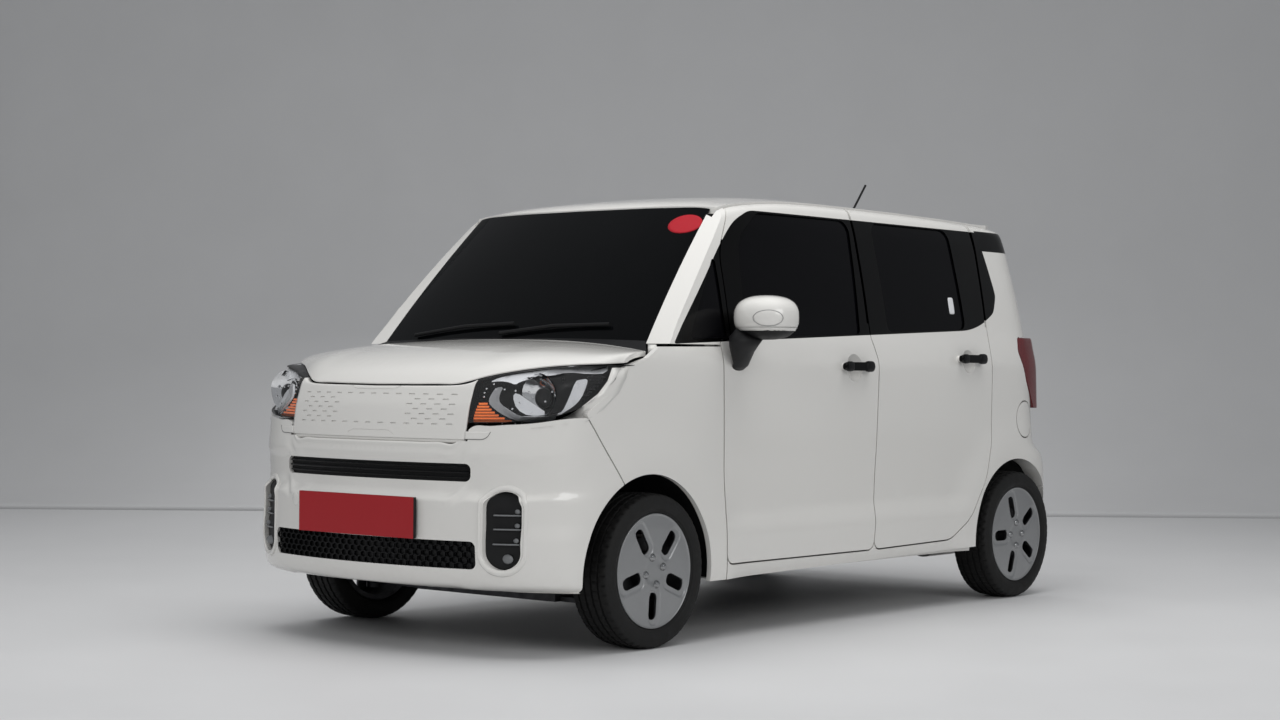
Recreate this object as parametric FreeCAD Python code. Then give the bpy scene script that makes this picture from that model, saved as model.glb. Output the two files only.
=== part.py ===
"""A small five-door box car, modelled as separate pieces at real size.

Millimetres. X points rearwards, Y to the car's right, Z up. The origin is on the ground, at
mid-length and mid-width. Places along the car are counted from the front axle.
"""
import FreeCAD
import Part
import math
import os

Vector = FreeCAD.Vector

# Overall sizes
LENGTH = 3595.0
WIDTH = 1595.0
HEIGHT = 1700.0
WHEELBASE = 2520.0
FRONT_OVERHANG = 715.0
TRACK = 1408.0
HALF_WIDTH = WIDTH / 2
AXLE_X = FRONT_OVERHANG - LENGTH / 2
REAR_OVERHANG = LENGTH - WHEELBASE - FRONT_OVERHANG

# Clearances
SHUT_GAP = 6.0
FRAME_GAP = 13.0
INNER_GAP = 14.0
SEAT = 0.3
PIN_GAP = 0.3
OVERRUN = 60.0
REACH = 4000.0

# Panels
SKIN = 20.0
PILLAR_DEPTH = 70.0
DOOR_DEPTH = 62.0
SASH_DEPTH = 38.0
BUMPER_SKIN = 26.0
LAMP_DEPTH = 90.0
ROOF_SKIN = 26.0
BONNET_SKIN = 18.0
TAILGATE_DEPTH = 46.0
GLASS = 5.0
GLASS_INSET = 7.0
SCREEN_PILLAR_DEPTH = 100.0
BELT = 1100.0
SILL_TOP = 300.0
ROOF_SIDE = 629.0
TAILGATE_HALF = 700.0
TAILGATE_TOP = 1640.0
TAILGATE_BOTTOM = 654.0
FLARE_INNER = 380.0
FLARE_OUTER = 575.0
FLARE_share = 0.85
REAR_FROM = 1900.0
END_POWER = 1.3

# Wheel arches
FRONT_ARCH_R = 353.0
FRONT_ARCH_SHIFT = -40.0
FRONT_ARCH_Z = 272.0
REAR_ARCH_R = 345.0
REAR_ARCH_SHIFT = -20.0
REAR_ARCH_Z = 268.0
LINER = 5.0
FRONT_WELL_HALF = 430.0
REAR_WELL_HALF = 556.0

# Wheels
TYRE_R = 278.0
TYRE_W = 175.0
BEAD_R = 190.5
FLANGE_R = 204.0
RIM_HALF = 72.0
RIM_WALL = 6.0
DISC_OUT = 74.0
DISC_T = 9.0
HUB_R = 62.0
BORE_R = 28.0
SPOKE_HOLES = 5
STUDS = 4
STUD_PCD = 100.0
STUD_HOLE_R = 6.5

# Outlines seen from the side: shares of the wheelbase from the front axle, and of the height
FRONT_DOOR_shares = [(0.1623, 0.1618), (0.5504, 0.1612), (0.5603, 0.6100), (0.5480, 0.6635), (0.5480, 1.0353),
                     (0.3016, 1.0353), (0.2282, 0.9471), (0.1833, 0.8471), (0.1794, 0.6541), (0.1516, 0.6506)]
FRONT_DOOR_ROUNDS = [40.0, 40.0, 150.0, 90.0, 0.0, 120.0, 220.0, 200.0, 12.0, 10.0]
REAR_DOOR_shares = [(0.5504, 0.1612), (0.7806, 0.1665), (0.8409, 0.2182), (0.8893, 0.3112), (0.9075, 0.4029),
                    (0.9091, 0.6559), (0.9159, 0.9176), (0.9159, 1.0353), (0.5480, 1.0353), (0.5480, 0.6635),
                    (0.5603, 0.6100)]
REAR_DOOR_ROUNDS = [40.0, 150.0, 250.0, 250.0, 200.0, 300.0, 60.0, 0.0, 0.0, 90.0, 150.0]
FRONT_WINDOW_shares = [(0.2135, 0.6594), (0.5198, 0.6724), (0.5337, 0.9435), (0.2944, 0.9435), (0.2341, 0.8824)]
FRONT_WINDOW_ROUNDS = [25.0, 25.0, 50.0, 90.0, 120.0]
REAR_WINDOW_shares = [(0.6012, 0.6800), (0.8413, 0.6912), (0.8333, 0.9435), (0.5972, 0.9435)]
REAR_WINDOW_ROUNDS = [30.0, 40.0, 50.0, 50.0]
FRONT_SWING_shares = [(0.5480, 0.6990), (0.5480, 1.0353)]
REAR_SWING_shares = [(0.9105, 0.6990), (0.9159, 0.9176), (0.9159, 1.0353)]
CORNER_WINDOW_shares = [(0.0810, 0.6520), (0.1690, 0.6575), (0.1706, 0.8459)]
CORNER_WINDOW_ROUNDS = [12.0, 15.0, 12.0]
SIDE_FRAME_shares = [(0.1635, 0.1294), (0.8571, 0.1435), (0.9921, 0.1565), (1.0972, 0.2741), (1.1329, 0.3812),
                     (1.1905, 0.3812), (1.1905, 1.0353), (0.1984, 1.0353), (0.0000, 0.6412), (0.1635, 0.6412)]
SIDE_FRAME_ROUNDS = [0.0, 0.0, 0.0, 0.0, 20.0, 0.0, 0.0, 0.0, 0.0, 0.0]
FENDER_shares = [(0.1190, 0.1282), (0.1623, 0.1282), (0.1623, 0.1618), (0.1516, 0.6388), (0.0079, 0.6365),
                 (-0.0099, 0.6224), (-0.0238, 0.6118), (-0.0397, 0.6065), (-0.0567, 0.6000), (-0.0742, 0.5959),
                 (-0.0766, 0.5700), (-0.0980, 0.5441), (-0.1353, 0.5129), (-0.1496, 0.4941), (-0.0758, 0.3524),
                 (-0.0159, 0.2353)]
FENDER_ROUNDS = [0.0, 0.0, 40.0, 10.0, 10.0, 20.0, 30.0, 30.0, 30.0, 10.0, 40.0, 120.0, 40.0, 10.0, 0.0, 0.0]
FUEL_FLAP_shares = (1.0220, 0.4620)
FUEL_FLAP_HALF_W = 72.0
FUEL_FLAP_HALF_H = 78.0
FUEL_FLAP_T = 4.0
FUEL_POCKET = 40.0
TAIL_LAMP_shares = [(1.0650, 0.4906), (1.1905, 0.4906), (1.1905, 0.6747), (1.0120, 0.6747), (1.0040, 0.6412),
                    (1.0300, 0.5600)]
TAIL_LAMP_ROUNDS = [10.0, 0.0, 0.0, 15.0, 40.0, 120.0]
TAIL_LAMP_PROUD = 46.0
TAIL_LAMP_EDGE = 1.5
TAIL_LAMP_SINK = 14.0

# The widest outline seen from above: shares of an overhang past its axle, and of the half width
FRONT_PLAN_shares = [(-1.0, 0.0), (-0.9916, 0.188), (-0.969, 0.376), (-0.929, 0.564), (-0.860, 0.752),
                     (-0.783, 0.865), (-0.685, 0.947), (-0.573, 0.987), (-0.447, 1.0)]
SIDE_PLAN_shares = [0.0, 0.2, 0.4, 0.6, 0.8, 1.0]
REAR_PLAN_shares = [(0.333, 0.997), (0.611, 0.981), (0.819, 0.934), (0.922, 0.853), (0.967, 0.740),
                    (0.989, 0.502), (0.997, 0.25), (1.0, 0.0)]

# How far each face lies inside that outline: shares of the height, and of the half width
FRONT_INSET_shares = [(0.1000, 0.1505), (0.1324, 0.1191), (0.1471, 0.0376), (0.1765, 0.0188), (0.2353, 0.0113),
                      (0.3218, 0.0100), (0.3306, 0.0401), (0.3559, 0.0527), (0.3924, 0.0527), (0.4059, 0.0426),
                      (0.4412, 0.0527), (0.5059, 0.0777), (0.5294, 0.0953), (0.5541, 0.1179), (0.5735, 0.1755),
                      (0.5882, 0.2633), (0.6018, 0.3636)]
SIDE_INSET_shares = [(0.1000, 0.0752), (0.1276, 0.0401), (0.1529, 0.0176), (0.1765, 0.0125), (0.2324, 0.0050),
                     (0.2500, 0.0113), (0.2765, 0.0207), (0.3294, 0.0201), (0.4118, 0.0125), (0.5882, 0.0075),
                     (0.6088, 0.0100), (0.6235, 0.0163), (0.6471, 0.0251), (0.6765, 0.0401), (0.7647, 0.0727),
                     (0.8529, 0.1103), (0.9441, 0.1580), (0.9647, 0.1831), (0.9776, 0.2132), (0.9882, 0.2571),
                     (0.9971, 0.3260)]
REAR_INSET_shares = [(0.1176, 0.0752), (0.1471, 0.0502), (0.1765, 0.0188), (0.2471, 0.0000), (0.3294, 0.0000),
                     (0.3647, 0.0251), (0.3812, 0.0777), (0.4000, 0.1304), (0.4706, 0.1530), (0.5882, 0.1705),
                     (0.6765, 0.1856), (0.7647, 0.2082), (0.8824, 0.2433), (0.9412, 0.2583), (0.9765, 0.2683)]
ROOF_LINE_shares = [(0.1905, 0.9541), (0.2222, 0.9706), (0.2881, 0.9865), (0.3770, 0.9971), (0.4762, 1.0),
                    (0.6746, 0.9982), (0.8333, 0.9941), (0.9524, 0.9888), (1.0238, 0.9847), (1.0635, 0.9788)]
ROOF_CROWN_shares = [(0.0, 0.0), (0.25, 0.0015), (0.50, 0.0060), (0.65, 0.0118), (0.75, 0.0190), (0.80, 0.0259),
                     (0.85, 0.0365)]


class Profile:
    """A smooth curve through rows of (place, value) that never swings past them."""

    def __init__(self, rows):
        self.rows = rows
        steps = [(b[1] - a[1]) / (b[0] - a[0]) for a, b in zip(rows, rows[1:])]
        inner = [0.0 if a * b <= 0 else 2 * a * b / (a + b) for a, b in zip(steps, steps[1:])]
        self.slopes = [steps[0]] + inner + [steps[-1]]

    def __call__(self, place):
        rows = self.rows
        if place <= rows[0][0]:
            return rows[0][1]
        if place >= rows[-1][0]:
            return rows[-1][1]
        i = max(k for k in range(len(rows) - 1) if rows[k][0] <= place)
        span = rows[i + 1][0] - rows[i][0]
        t = (place - rows[i][0]) / span
        rise = (2 * t ** 3 - 3 * t ** 2 + 1) * rows[i][1] + (3 * t ** 2 - 2 * t ** 3) * rows[i + 1][1]
        turn = (t ** 3 - 2 * t ** 2 + t) * self.slopes[i] + (t ** 3 - t ** 2) * self.slopes[i + 1]
        return rise + span * turn


front_inset = Profile(FRONT_INSET_shares)
side_inset = Profile(SIDE_INSET_shares)
rear_inset = Profile(REAR_INSET_shares)
roof_line = Profile(ROOF_LINE_shares)
roof_crown = Profile(ROOF_CROWN_shares)


# Basic shapes
def spot(x, y, z):
    """A point, with x counted from the front axle."""
    return Vector(AXLE_X + x, y, z)


def side_points(shares):
    """Points (x, z) of an outline given in shares."""
    return [(x * WHEELBASE, z * HEIGHT) for x, z in shares]


def rounded(points, rounds, grow=0.0):
    """Corner points and radii of an outline moved outwards by grow, as straight runs and arcs."""
    count = len(points)
    area = sum(points[i - 1][0] * points[i][1] - points[i][0] * points[i - 1][1] for i in range(count))
    turn = 1.0 if area > 0 else -1.0
    lines = []
    for i in range(count):
        (ax, az), (bx, bz) = points[i], points[(i + 1) % count]
        span = math.hypot(bx - ax, bz - az)
        nx, nz = turn * (bz - az) / span, -turn * (bx - ax) / span
        lines.append((nx, nz, nx * ax + nz * az + grow))
    corners = []
    for i in range(count):
        (a1, b1, c1), (a2, b2, c2) = lines[i - 1], lines[i]
        det = a1 * b2 - a2 * b1
        corner = ((c1 * b2 - c2 * b1) / det, (a1 * c2 - a2 * c1) / det)
        outward = turn * det > 0
        radius = rounds[i] + (grow if outward else -grow) if rounds[i] else 0.0
        corners.append((corner, max(radius, 0.0)))
    return corners


def outline(corners, place):
    """A closed wire through rounded corners; place turns a flat point into a point in space."""
    count = len(corners)
    marks = []
    for i in range(count):
        (px, pz), radius = corners[i]
        (ax, az), (bx, bz) = corners[i - 1][0], corners[(i + 1) % count][0]
        ua = ((ax - px), (az - pz))
        ub = ((bx - px), (bz - pz))
        la, lb = math.hypot(*ua), math.hypot(*ub)
        ua, ub = (ua[0] / la, ua[1] / la), (ub[0] / lb, ub[1] / lb)
        half = math.acos(max(-1.0, min(1.0, ua[0] * ub[0] + ua[1] * ub[1]))) / 2
        if radius <= 0 or math.sin(half) > 0.9999:
            marks.append(((px, pz), None, (px, pz)))
            continue
        cut = min(radius / math.tan(half), la * 0.49, lb * 0.49)
        radius = cut * math.tan(half)
        start = (px + ua[0] * cut, pz + ua[1] * cut)
        end = (px + ub[0] * cut, pz + ub[1] * cut)
        mid = (ua[0] + ub[0], ua[1] + ub[1])
        lm = math.hypot(*mid)
        reach = radius / math.sin(half) - radius
        marks.append((start, (px + mid[0] / lm * reach, pz + mid[1] / lm * reach), end))
    edges = []
    for i in range(count):
        start, middle, end = marks[i]
        if middle:
            edges.append(Part.Arc(place(*start), place(*middle), place(*end)).toShape())
        following = marks[(i + 1) % count][0]
        edges.append(Part.LineSegment(place(*end), place(*following)).toShape())
    return Part.Wire(edges)


def side_prism(points, rounds, y_low, y_high, grow=0.0):
    """A prism along Y with an outline given in the side view."""
    wire = outline(rounded(points, rounds, grow), lambda x, z: spot(x, y_low, z))
    return Part.Face(wire).extrude(Vector(0, y_high - y_low, 0))


def front_prism(points, rounds, x_low, x_high, grow=0.0):
    """A prism along X with an outline given in the front view."""
    wire = outline(rounded(points, rounds, grow), lambda y, z: spot(x_low, y, z))
    return Part.Face(wire).extrude(Vector(x_high - x_low, 0, 0))


def box(x_low, x_high, y_low, y_high, z_low, z_high):
    """An upright box between two corners, with x counted from the front axle."""
    return Part.makeBox(x_high - x_low, y_high - y_low, z_high - z_low, spot(x_low, y_low, z_low))


def cylinder_y(x, z, radius, y_low, y_high):
    """A cylinder along Y."""
    return Part.makeCylinder(radius, y_high - y_low, spot(x, y_low, z), Vector(0, 1, 0))


def mirrored(shape):
    """The same shape on the car's other side."""
    return shape.mirror(Vector(0, 0, 0), Vector(0, 1, 0))


def joined(shapes):
    """One shape from shapes that overlap."""
    result = shapes[0]
    for shape in shapes[1:]:
        result = result.fuse(shape)
    return result


def grid_solid(outer, inner):
    """A closed solid between two grids of points with the same rows and columns."""
    surfaces = []
    for grid in (outer, inner):
        surface = Part.BSplineSurface()
        surface.interpolate(grid)
        surfaces.append(surface)
    faces = [surface.toShape() for surface in surfaces]
    u0, u1, v0, v1 = surfaces[0].bounds()
    p0, p1, q0, q1 = surfaces[1].bounds()
    rims = [(surfaces[0].uIso(u0), surfaces[1].uIso(p0)), (surfaces[0].uIso(u1), surfaces[1].uIso(p1)),
            (surfaces[0].vIso(v0), surfaces[1].vIso(q0)), (surfaces[0].vIso(v1), surfaces[1].vIso(q1))]
    faces += [Part.makeRuledSurface(a.toShape(), b.toShape()) for a, b in rims]
    shell = Part.makeShell(faces)
    shell.sewShape()
    solid = Part.makeSolid(shell)
    if solid.Volume < 0:
        solid.reverse()
    return solid


# The outer form of the body
def make_plan():
    """The widest outline on the right, from the front's middle to the rear's."""
    points = [spot(x * FRONT_OVERHANG, y * HALF_WIDTH, 0) for x, y in FRONT_PLAN_shares]
    points += [spot(x * WHEELBASE, HALF_WIDTH, 0) for x in SIDE_PLAN_shares]
    points += [spot(WHEELBASE + x * REAR_OVERHANG, y * HALF_WIDTH, 0) for x, y in REAR_PLAN_shares]
    curve = Part.BSplineCurve()
    curve.interpolate(Points=points, InitialTangent=Vector(0, 1, 0), FinalTangent=Vector(0, -1, 0))
    return curve


PLAN = make_plan()


def station(parameter, side=1):
    """A place on the outline: its point, its outward normal and its side of the car."""
    point = PLAN.value(parameter)
    tangent = PLAN.tangent(parameter)[0]
    return point, Vector(-tangent.y, tangent.x, 0), side


def outward(place):
    """The station's normal turned so that it points out of the car."""
    point, normal, side = place
    if normal.y < 0 or (abs(normal.y) < 0.001 and normal.x * (point.x - AXLE_X) < 0):
        normal = normal * -1
    return normal


def plan_parameter(test):
    """The parameter at which test turns from true to false along the outline."""
    low, high = PLAN.FirstParameter, PLAN.LastParameter
    for _ in range(50):
        middle = (low + high) / 2
        if test(PLAN.value(middle)):
            low = middle
        else:
            high = middle
    return low


def at_x(x):
    """The outline's parameter at a place along the car."""
    return plan_parameter(lambda p: p.x < AXLE_X + x)


def at_front_y(y):
    """The outline's parameter at a half width on the front."""
    return plan_parameter(lambda p: p.y < y and p.x < AXLE_X)


def at_rear_y(y):
    """The outline's parameter at a half width on the rear."""
    return plan_parameter(lambda p: p.x < AXLE_X + WHEELBASE or p.y > y)


def stations(first, last, count):
    """Evenly spread stations on the right."""
    return [station(first + (last - first) * k / (count - 1)) for k in range(count)]


def both_sides(right, from_rear=False):
    """Stations on the right continued over the middle to the left."""
    left = [(point, normal, -1) for point, normal, side in right]
    if from_rear:
        return right[:-1] + [right[-1]] + left[::-1][1:]
    return left[::-1][:-1] + right


def flare(x, z):
    """How much of the inset the soft blister round each wheel takes away."""
    amount = 0.0
    for centre in (0.0, WHEELBASE):
        far = math.hypot(x - centre, z - TYRE_R)
        t = min(max((far - FLARE_INNER) / (FLARE_OUTER - FLARE_INNER), 0.0), 1.0)
        amount = max(amount, 1 - t * t * (3 - 2 * t))
    return FLARE_share * amount


def raised(x, z):
    """The height that a point would have under the roof's highest part."""
    if z <= BELT:
        return z
    return BELT + (z - BELT) * (HEIGHT - BELT) / (roof_line(x / WHEELBASE) * HEIGHT - BELT)


def wall(place, z, depth):
    """A point on the body's side, front or rear, depth inside its outer face."""
    point, _, side = place
    x = point.x - AXLE_X
    if x < 0:
        ahead = HALF_WIDTH * front_inset(z / HEIGHT) + depth
        x += ahead * (-x / FRONT_OVERHANG) ** END_POWER
    elif x > REAR_FROM:
        reach = WHEELBASE + REAR_OVERHANG - REAR_FROM
        behind = HALF_WIDTH * rear_inset(z / HEIGHT) + depth
        x -= behind * ((x - REAR_FROM) / reach) ** END_POWER
    beside = HALF_WIDTH * side_inset(raised(x, z) / HEIGHT) * (1 - flare(x, z)) + depth
    return spot(x, side * point.y * (1 - beside / HALF_WIDTH), z)


def rows(low, high, count):
    """Evenly spread heights."""
    return [low + (high - low) * k / (count - 1) for k in range(count)]


def wall_slab(places, low, high, count, outer, inner):
    """A curved plate of the body between two depths; low and high may follow the station."""
    grids = []
    for depth in (outer, inner):
        grid = []
        for place in places:
            bottom = low(place) if callable(low) else low
            top = high(place) if callable(high) else high
            deep = depth(place) if callable(depth) else depth
            grid.append([wall(place, z, deep) for z in rows(bottom, top, count)])
        grids.append(grid)
    return grid_solid(*grids)


def roof_height(x, y):
    """The height of the roof's outer face."""
    middle = roof_line(x / WHEELBASE) * HEIGHT
    return middle - roof_crown(abs(y) / HALF_WIDTH) * HEIGHT * (middle - BELT) / (HEIGHT - BELT)


def arch_cutter(rear, y_low, y_high, grow=0.0):
    """The round opening over a wheel."""
    if rear:
        return cylinder_y(WHEELBASE + REAR_ARCH_SHIFT, REAR_ARCH_Z, REAR_ARCH_R + grow, y_low, y_high)
    return cylinder_y(FRONT_ARCH_SHIFT, FRONT_ARCH_Z, FRONT_ARCH_R + grow, y_low, y_high)


# Windscreen, roof, bonnet and cowl
SCREEN_BASE_X = 30.0
SCREEN_BASE_BOW = 45.0
SCREEN_BASE_HALF = 689.0
SCREEN_BASE_Z = 1112.0
SCREEN_BASE_DROP = 12.0
SCREEN_TOP_X = 484.0
SCREEN_TOP_BOW = 52.0
SCREEN_TOP_HALF = 609.0
SCREEN_BULGE = 10.0
SCREEN_EDGE_share = 0.985
SCREEN_SINK = 4.0
ROOF_REAR_Z = 1650.0
BONNET_REAR_X = 4.0
BONNET_REAR_BOW = 27.0
BONNET_REAR_HALF = 752.0
BONNET_REAR_Z = 1106.0
BONNET_REAR_DROP = 44.0
BONNET_EDGE = 4.0
BONNET_EDGE_share = 0.12
COWL_DEPTH = 22.0
COWL_EDGE_share = 0.975
LAMP_TIP_X = -262.0
LAMP_INNER_Y = 456.0
LAMP_TOP_shares = [(0.0, 0.5541), (0.35, 0.5565), (0.46, 0.5735), (0.56, 0.5865), (0.70, 0.5960), (1.0, 0.6018)]
LAMP_LOW_shares = [(0.0, 0.4724), (0.52, 0.4760), (0.66, 0.4830), (0.78, 0.4960), (0.86, 0.5140), (0.94, 0.5440),
                   (1.0, 0.5700)]
BONNET_RISE_shares = [(0.0, 0.0), (0.04, 0.16), (0.10, 0.33), (0.20, 0.52), (0.35, 0.70), (0.55, 0.85),
                      (0.78, 0.95), (1.0, 1.0)]

lamp_top = Profile(LAMP_TOP_shares)
lamp_low = Profile(LAMP_LOW_shares)
bonnet_rise = Profile(BONNET_RISE_shares)


def screen_point(v, w, depth=0.0, back=0.0):
    """A point on the windscreen: v runs up it and w across it, 1 at the glass's corner."""
    slope = math.atan2(roof_line(SCREEN_TOP_X / WHEELBASE) * HEIGHT - SCREEN_BASE_Z, SCREEN_TOP_X - SCREEN_BASE_X)
    x0, x1 = SCREEN_BASE_X + SCREEN_BASE_BOW * w * w, SCREEN_TOP_X + SCREEN_TOP_BOW * w * w
    y0, y1 = SCREEN_BASE_HALF * w, SCREEN_TOP_HALF * w
    z0 = SCREEN_BASE_Z - SCREEN_BASE_DROP * w * w
    z1 = roof_height(x1, y1) - SCREEN_SINK
    lift = SCREEN_BULGE * 4 * v * (1 - v) - depth
    x = x0 + (x1 - x0) * v - lift * math.sin(slope)
    z = z0 + (z1 - z0) * v + lift * math.cos(slope)
    return spot(x + back, y0 + (y1 - y0) * v, z)


def screen_slab(v_low, v_high, w_low, w_high, outer, inner, back=0.0):
    """A plate along the windscreen between two depths, or a block behind it."""
    grids = []
    for depth, shift in ((outer, 0.0), (inner, back)):
        grid = []
        for w in rows(w_low, w_high, 11):
            grid.append([screen_point(v, w, depth, shift) for v in rows(v_low, v_high, 7)])
        grids.append(grid)
    return grid_solid(*grids)


def bonnet_edge(parameter, grow=0.0):
    """The bonnet's front edge, over the grille and lamps, at a parameter of the outline."""
    place = station(parameter)
    share = parameter_share(parameter)
    return wall(place, lamp_top(share) * HEIGHT, SHUT_GAP + grow)


def parameter_share(parameter):
    """The outline's distance from the front's middle, as a share of that to the lamp's tip."""
    first = PLAN.FirstParameter
    return PLAN.length(first, parameter) / PLAN.length(first, at_x(LAMP_TIP_X))


def share_of(place):
    """The same share for a station."""
    return parameter_share(PLAN.parameter(place[0]))


def under_bonnet(place):
    """The height of what ends under the bonnet's front edge."""
    return lamp_top(share_of(place)) * HEIGHT - SHUT_GAP - BONNET_EDGE


def bonnet_rear(w):
    """The bonnet's rear edge, at a share of its half width."""
    return spot(BONNET_REAR_X - BONNET_REAR_BOW * w * w, BONNET_REAR_HALF * w,
                BONNET_REAR_Z - BONNET_REAR_DROP * abs(w) ** 2.6)


def front_stations(last, count):
    """Stations from the front's middle to a parameter, evenly spread along the outline."""
    first = PLAN.FirstParameter
    reach = PLAN.length(first, last)
    return [PLAN.parameterAtDistance(reach * k / (count - 1), first) for k in range(count)]


def make_bonnet():
    """The bonnet's panel, rolled down to the grille and lamps in front."""
    parameters = front_stations(at_x(LAMP_TIP_X), 15)
    half = []
    for k, parameter in enumerate(parameters):
        edge = bonnet_edge(parameter)
        back = bonnet_rear(edge.y / bonnet_edge(parameters[-1]).y)
        column = []
        for s in rows(0.0, 1.0, 12):
            s = s ** 1.5
            point = edge + (back - edge) * s
            column.append(Vector(point.x, point.y, edge.z + (back.z - edge.z) * bonnet_rise(s)))
        half.append(column)
    grid = [[Vector(p.x, -p.y, p.z) for p in column] for column in half[::-1][:-1]] + half
    below = []
    for column in grid:
        start, reach = column[0].x, column[-1].x - column[0].x
        depths = [min((p.x - start) / reach / BONNET_EDGE_share, 1.0) for p in column]
        depths = [BONNET_EDGE + (BONNET_SKIN - BONNET_EDGE) * depth for depth in depths]
        below.append([Vector(p.x, p.y, p.z - depth) for p, depth in zip(column, depths)])
    return grid_solid(grid, below)


def make_cowl():
    """The black panel between the bonnet and the windscreen."""
    outer = []
    for w in rows(-1.0, 1.0, 17):
        front = bonnet_rear(w) + Vector(SHUT_GAP, 0, -SCREEN_SINK)
        rear = screen_point(0.0, w * COWL_EDGE_share) - Vector(SEAT, 0, 0)
        outer.append([front + (rear - front) * t for t in rows(0.0, 1.0, 3)])
    inner = [[p - Vector(0, 0, COWL_DEPTH) for p in column] for column in outer]
    return grid_solid(outer, inner)


def roof_rear(y):
    """The roof's rear edge along the car, over the tailgate and round the rear corners."""
    low, high = at_x(WHEELBASE), PLAN.LastParameter
    for _ in range(30):
        middle = (low + high) / 2
        if wall(station(middle), ROOF_REAR_Z, 0.0).y > abs(y):
            low = middle
        else:
            high = middle
    return wall(station(low), ROOF_REAR_Z, 0.0).x - AXLE_X


def roof_slab(lift, depth):
    """A plate along the roof from lift over its outer face to depth under it."""
    grids = []
    for offset in (lift, -depth):
        grid = []
        for y in rows(-ROOF_SIDE, ROOF_SIDE, 21):
            front = SCREEN_TOP_X + SCREEN_TOP_BOW * (y / SCREEN_TOP_HALF) ** 2 + GLASS
            rear = roof_rear(y)
            grid.append([spot(x, y, roof_height(x, y) + offset) for x in rows(front, rear, 16)])
        grids.append(grid)
    return grid_solid(*grids)


def make_roof():
    """The roof's panel, as thick as its skin and lining."""
    panel = roof_slab(0.0, ROOF_SKIN)
    side = SHUT_GAP / 2
    trim = box(-REACH, REACH, -ROOF_SIDE + side, ROOF_SIDE - side, BELT, HEIGHT + OVERRUN)
    return panel.common(trim)


# Side panels, all made on the right and mirrored
DOOR_TOP_SINK = 4.0


def panel_top(place):
    """The highest row of a side panel, just under the roof's middle line."""
    x = place[0].x - AXLE_X
    return roof_line(x / WHEELBASE) * HEIGHT - DOOR_TOP_SINK


def side_slab(x_low, x_high, columns, z_low, z_high, count, outer, inner):
    """A side panel's plate between two places along the car."""
    return wall_slab(stations(at_x(x_low), at_x(x_high), columns), z_low, z_high, count, outer, inner)


def make_door(points, rounds, window, window_rounds, upper_rear):
    """A door as thick as the real one: skin, inner box and window frame."""
    far = WIDTH
    x_low = min(p[0] for p in points) - OVERRUN
    x_high = max(p[0] for p in points) + OVERRUN
    z_low = min(p[1] for p in points) - OVERRUN
    columns = 12
    count = 36
    skin = side_slab(x_low, x_high, columns, z_low, panel_top, count, 0.0, SKIN)
    skin = skin.common(side_prism(points, rounds, ROOF_SIDE + SHUT_GAP / 2, far, -SHUT_GAP / 2))
    core = side_slab(x_low, x_high, columns, z_low, BELT, count, SKIN / 2, DOOR_DEPTH)
    core = core.common(side_prism(points, rounds, 0.0, far, -INNER_GAP))
    sash = side_slab(x_low, x_high, columns, BELT - OVERRUN, panel_top, count // 2, SKIN / 2, SASH_DEPTH)
    sash = sash.common(side_prism(points, rounds, ROOF_SIDE + SHUT_GAP / 2, far, -INNER_GAP))
    door = joined([skin, core, sash])
    opening = side_prism(window, window_rounds, 0.0, far)
    door = door.cut(opening)
    glass = side_slab(x_low, x_high, columns, BELT - OVERRUN, panel_top, count // 2, GLASS_INSET,
                      GLASS_INSET + GLASS)
    glass = glass.common(side_prism(window, window_rounds, 0.0, far, -SEAT))
    swing = [(x - FRAME_GAP, z) for x, z in upper_rear] + [(x + OVERRUN, z) for x, z in upper_rear[::-1]]
    return door.cut(side_prism(swing, [0.0] * len(swing), 0.0, far)), glass


B_PILLAR_WIDE = 100.0
B_PILLAR_SHIFT = 10.0
B_PILLAR_DEPTH = 118.0
B_PILLAR_CLEAR = 6.0
B_PILLAR_TOP = 1600.0
HINGE_POST_WIDE = 62.0
HINGE_POST_DEPTH = 95.0
RAIL_DROP = 90.0
RAIL_IN = 560.0
RAIL_SINK = 2.0
SILL_DEPTH = 110.0
SILL_BOTTOM = 226.0
INNER_SILL_LOW = 232.0
INNER_SILL_HIGH = 296.0
SCREEN_PILLAR_END = 700.0


def frame_depth(place):
    """How deep the body side is: deeper at the windscreen pillar."""
    x = place[0].x - AXLE_X
    share = min(max((x - SCREEN_PILLAR_END) / SCREEN_PILLAR_END, 0.0), 1.0)
    return SCREEN_PILLAR_DEPTH + (PILLAR_DEPTH - SCREEN_PILLAR_DEPTH) * share


def roof_edge():
    """Places (x, y) along the roof's side edge, from the windscreen round to the tailgate."""
    middle = roof_rear(ROOF_SIDE)
    edge = [(x, ROOF_SIDE) for x in rows(SCREEN_TOP_X + SCREEN_TOP_BOW / 2, middle, 8)]
    first = plan_parameter(lambda p: p.x < AXLE_X + WHEELBASE or p.y > TAILGATE_HALF)
    last = at_x(middle)
    for k in (1, 2, 3, 4):
        point = wall(station(last + (first - last) * k / 4), ROOF_REAR_Z, 0.0)
        if point.x - AXLE_X > middle + SHUT_GAP:
            edge.append((point.x - AXLE_X, min(point.y, ROOF_SIDE)))
    return edge


def rail_prism(edge, drop, depth, y_low, y_high):
    """A bar under the roof's side edge, from drop under the panel to depth under that."""
    top = [spot(x, y_low, roof_height(x, y) - ROOF_SKIN - drop) for x, y in edge]
    low = [p - Vector(0, 0, depth) for p in top]
    upper, under = Part.BSplineCurve(), Part.BSplineCurve()
    upper.interpolate(top)
    under.interpolate(low)
    ends = [Part.LineSegment(top[-1], low[-1]).toShape(), Part.LineSegment(low[0], top[0]).toShape()]
    wire = Part.Wire([upper.toShape(), ends[0], under.toShape(), ends[1]])
    return Part.Face(wire).extrude(Vector(0, y_high - y_low, 0))


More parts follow.
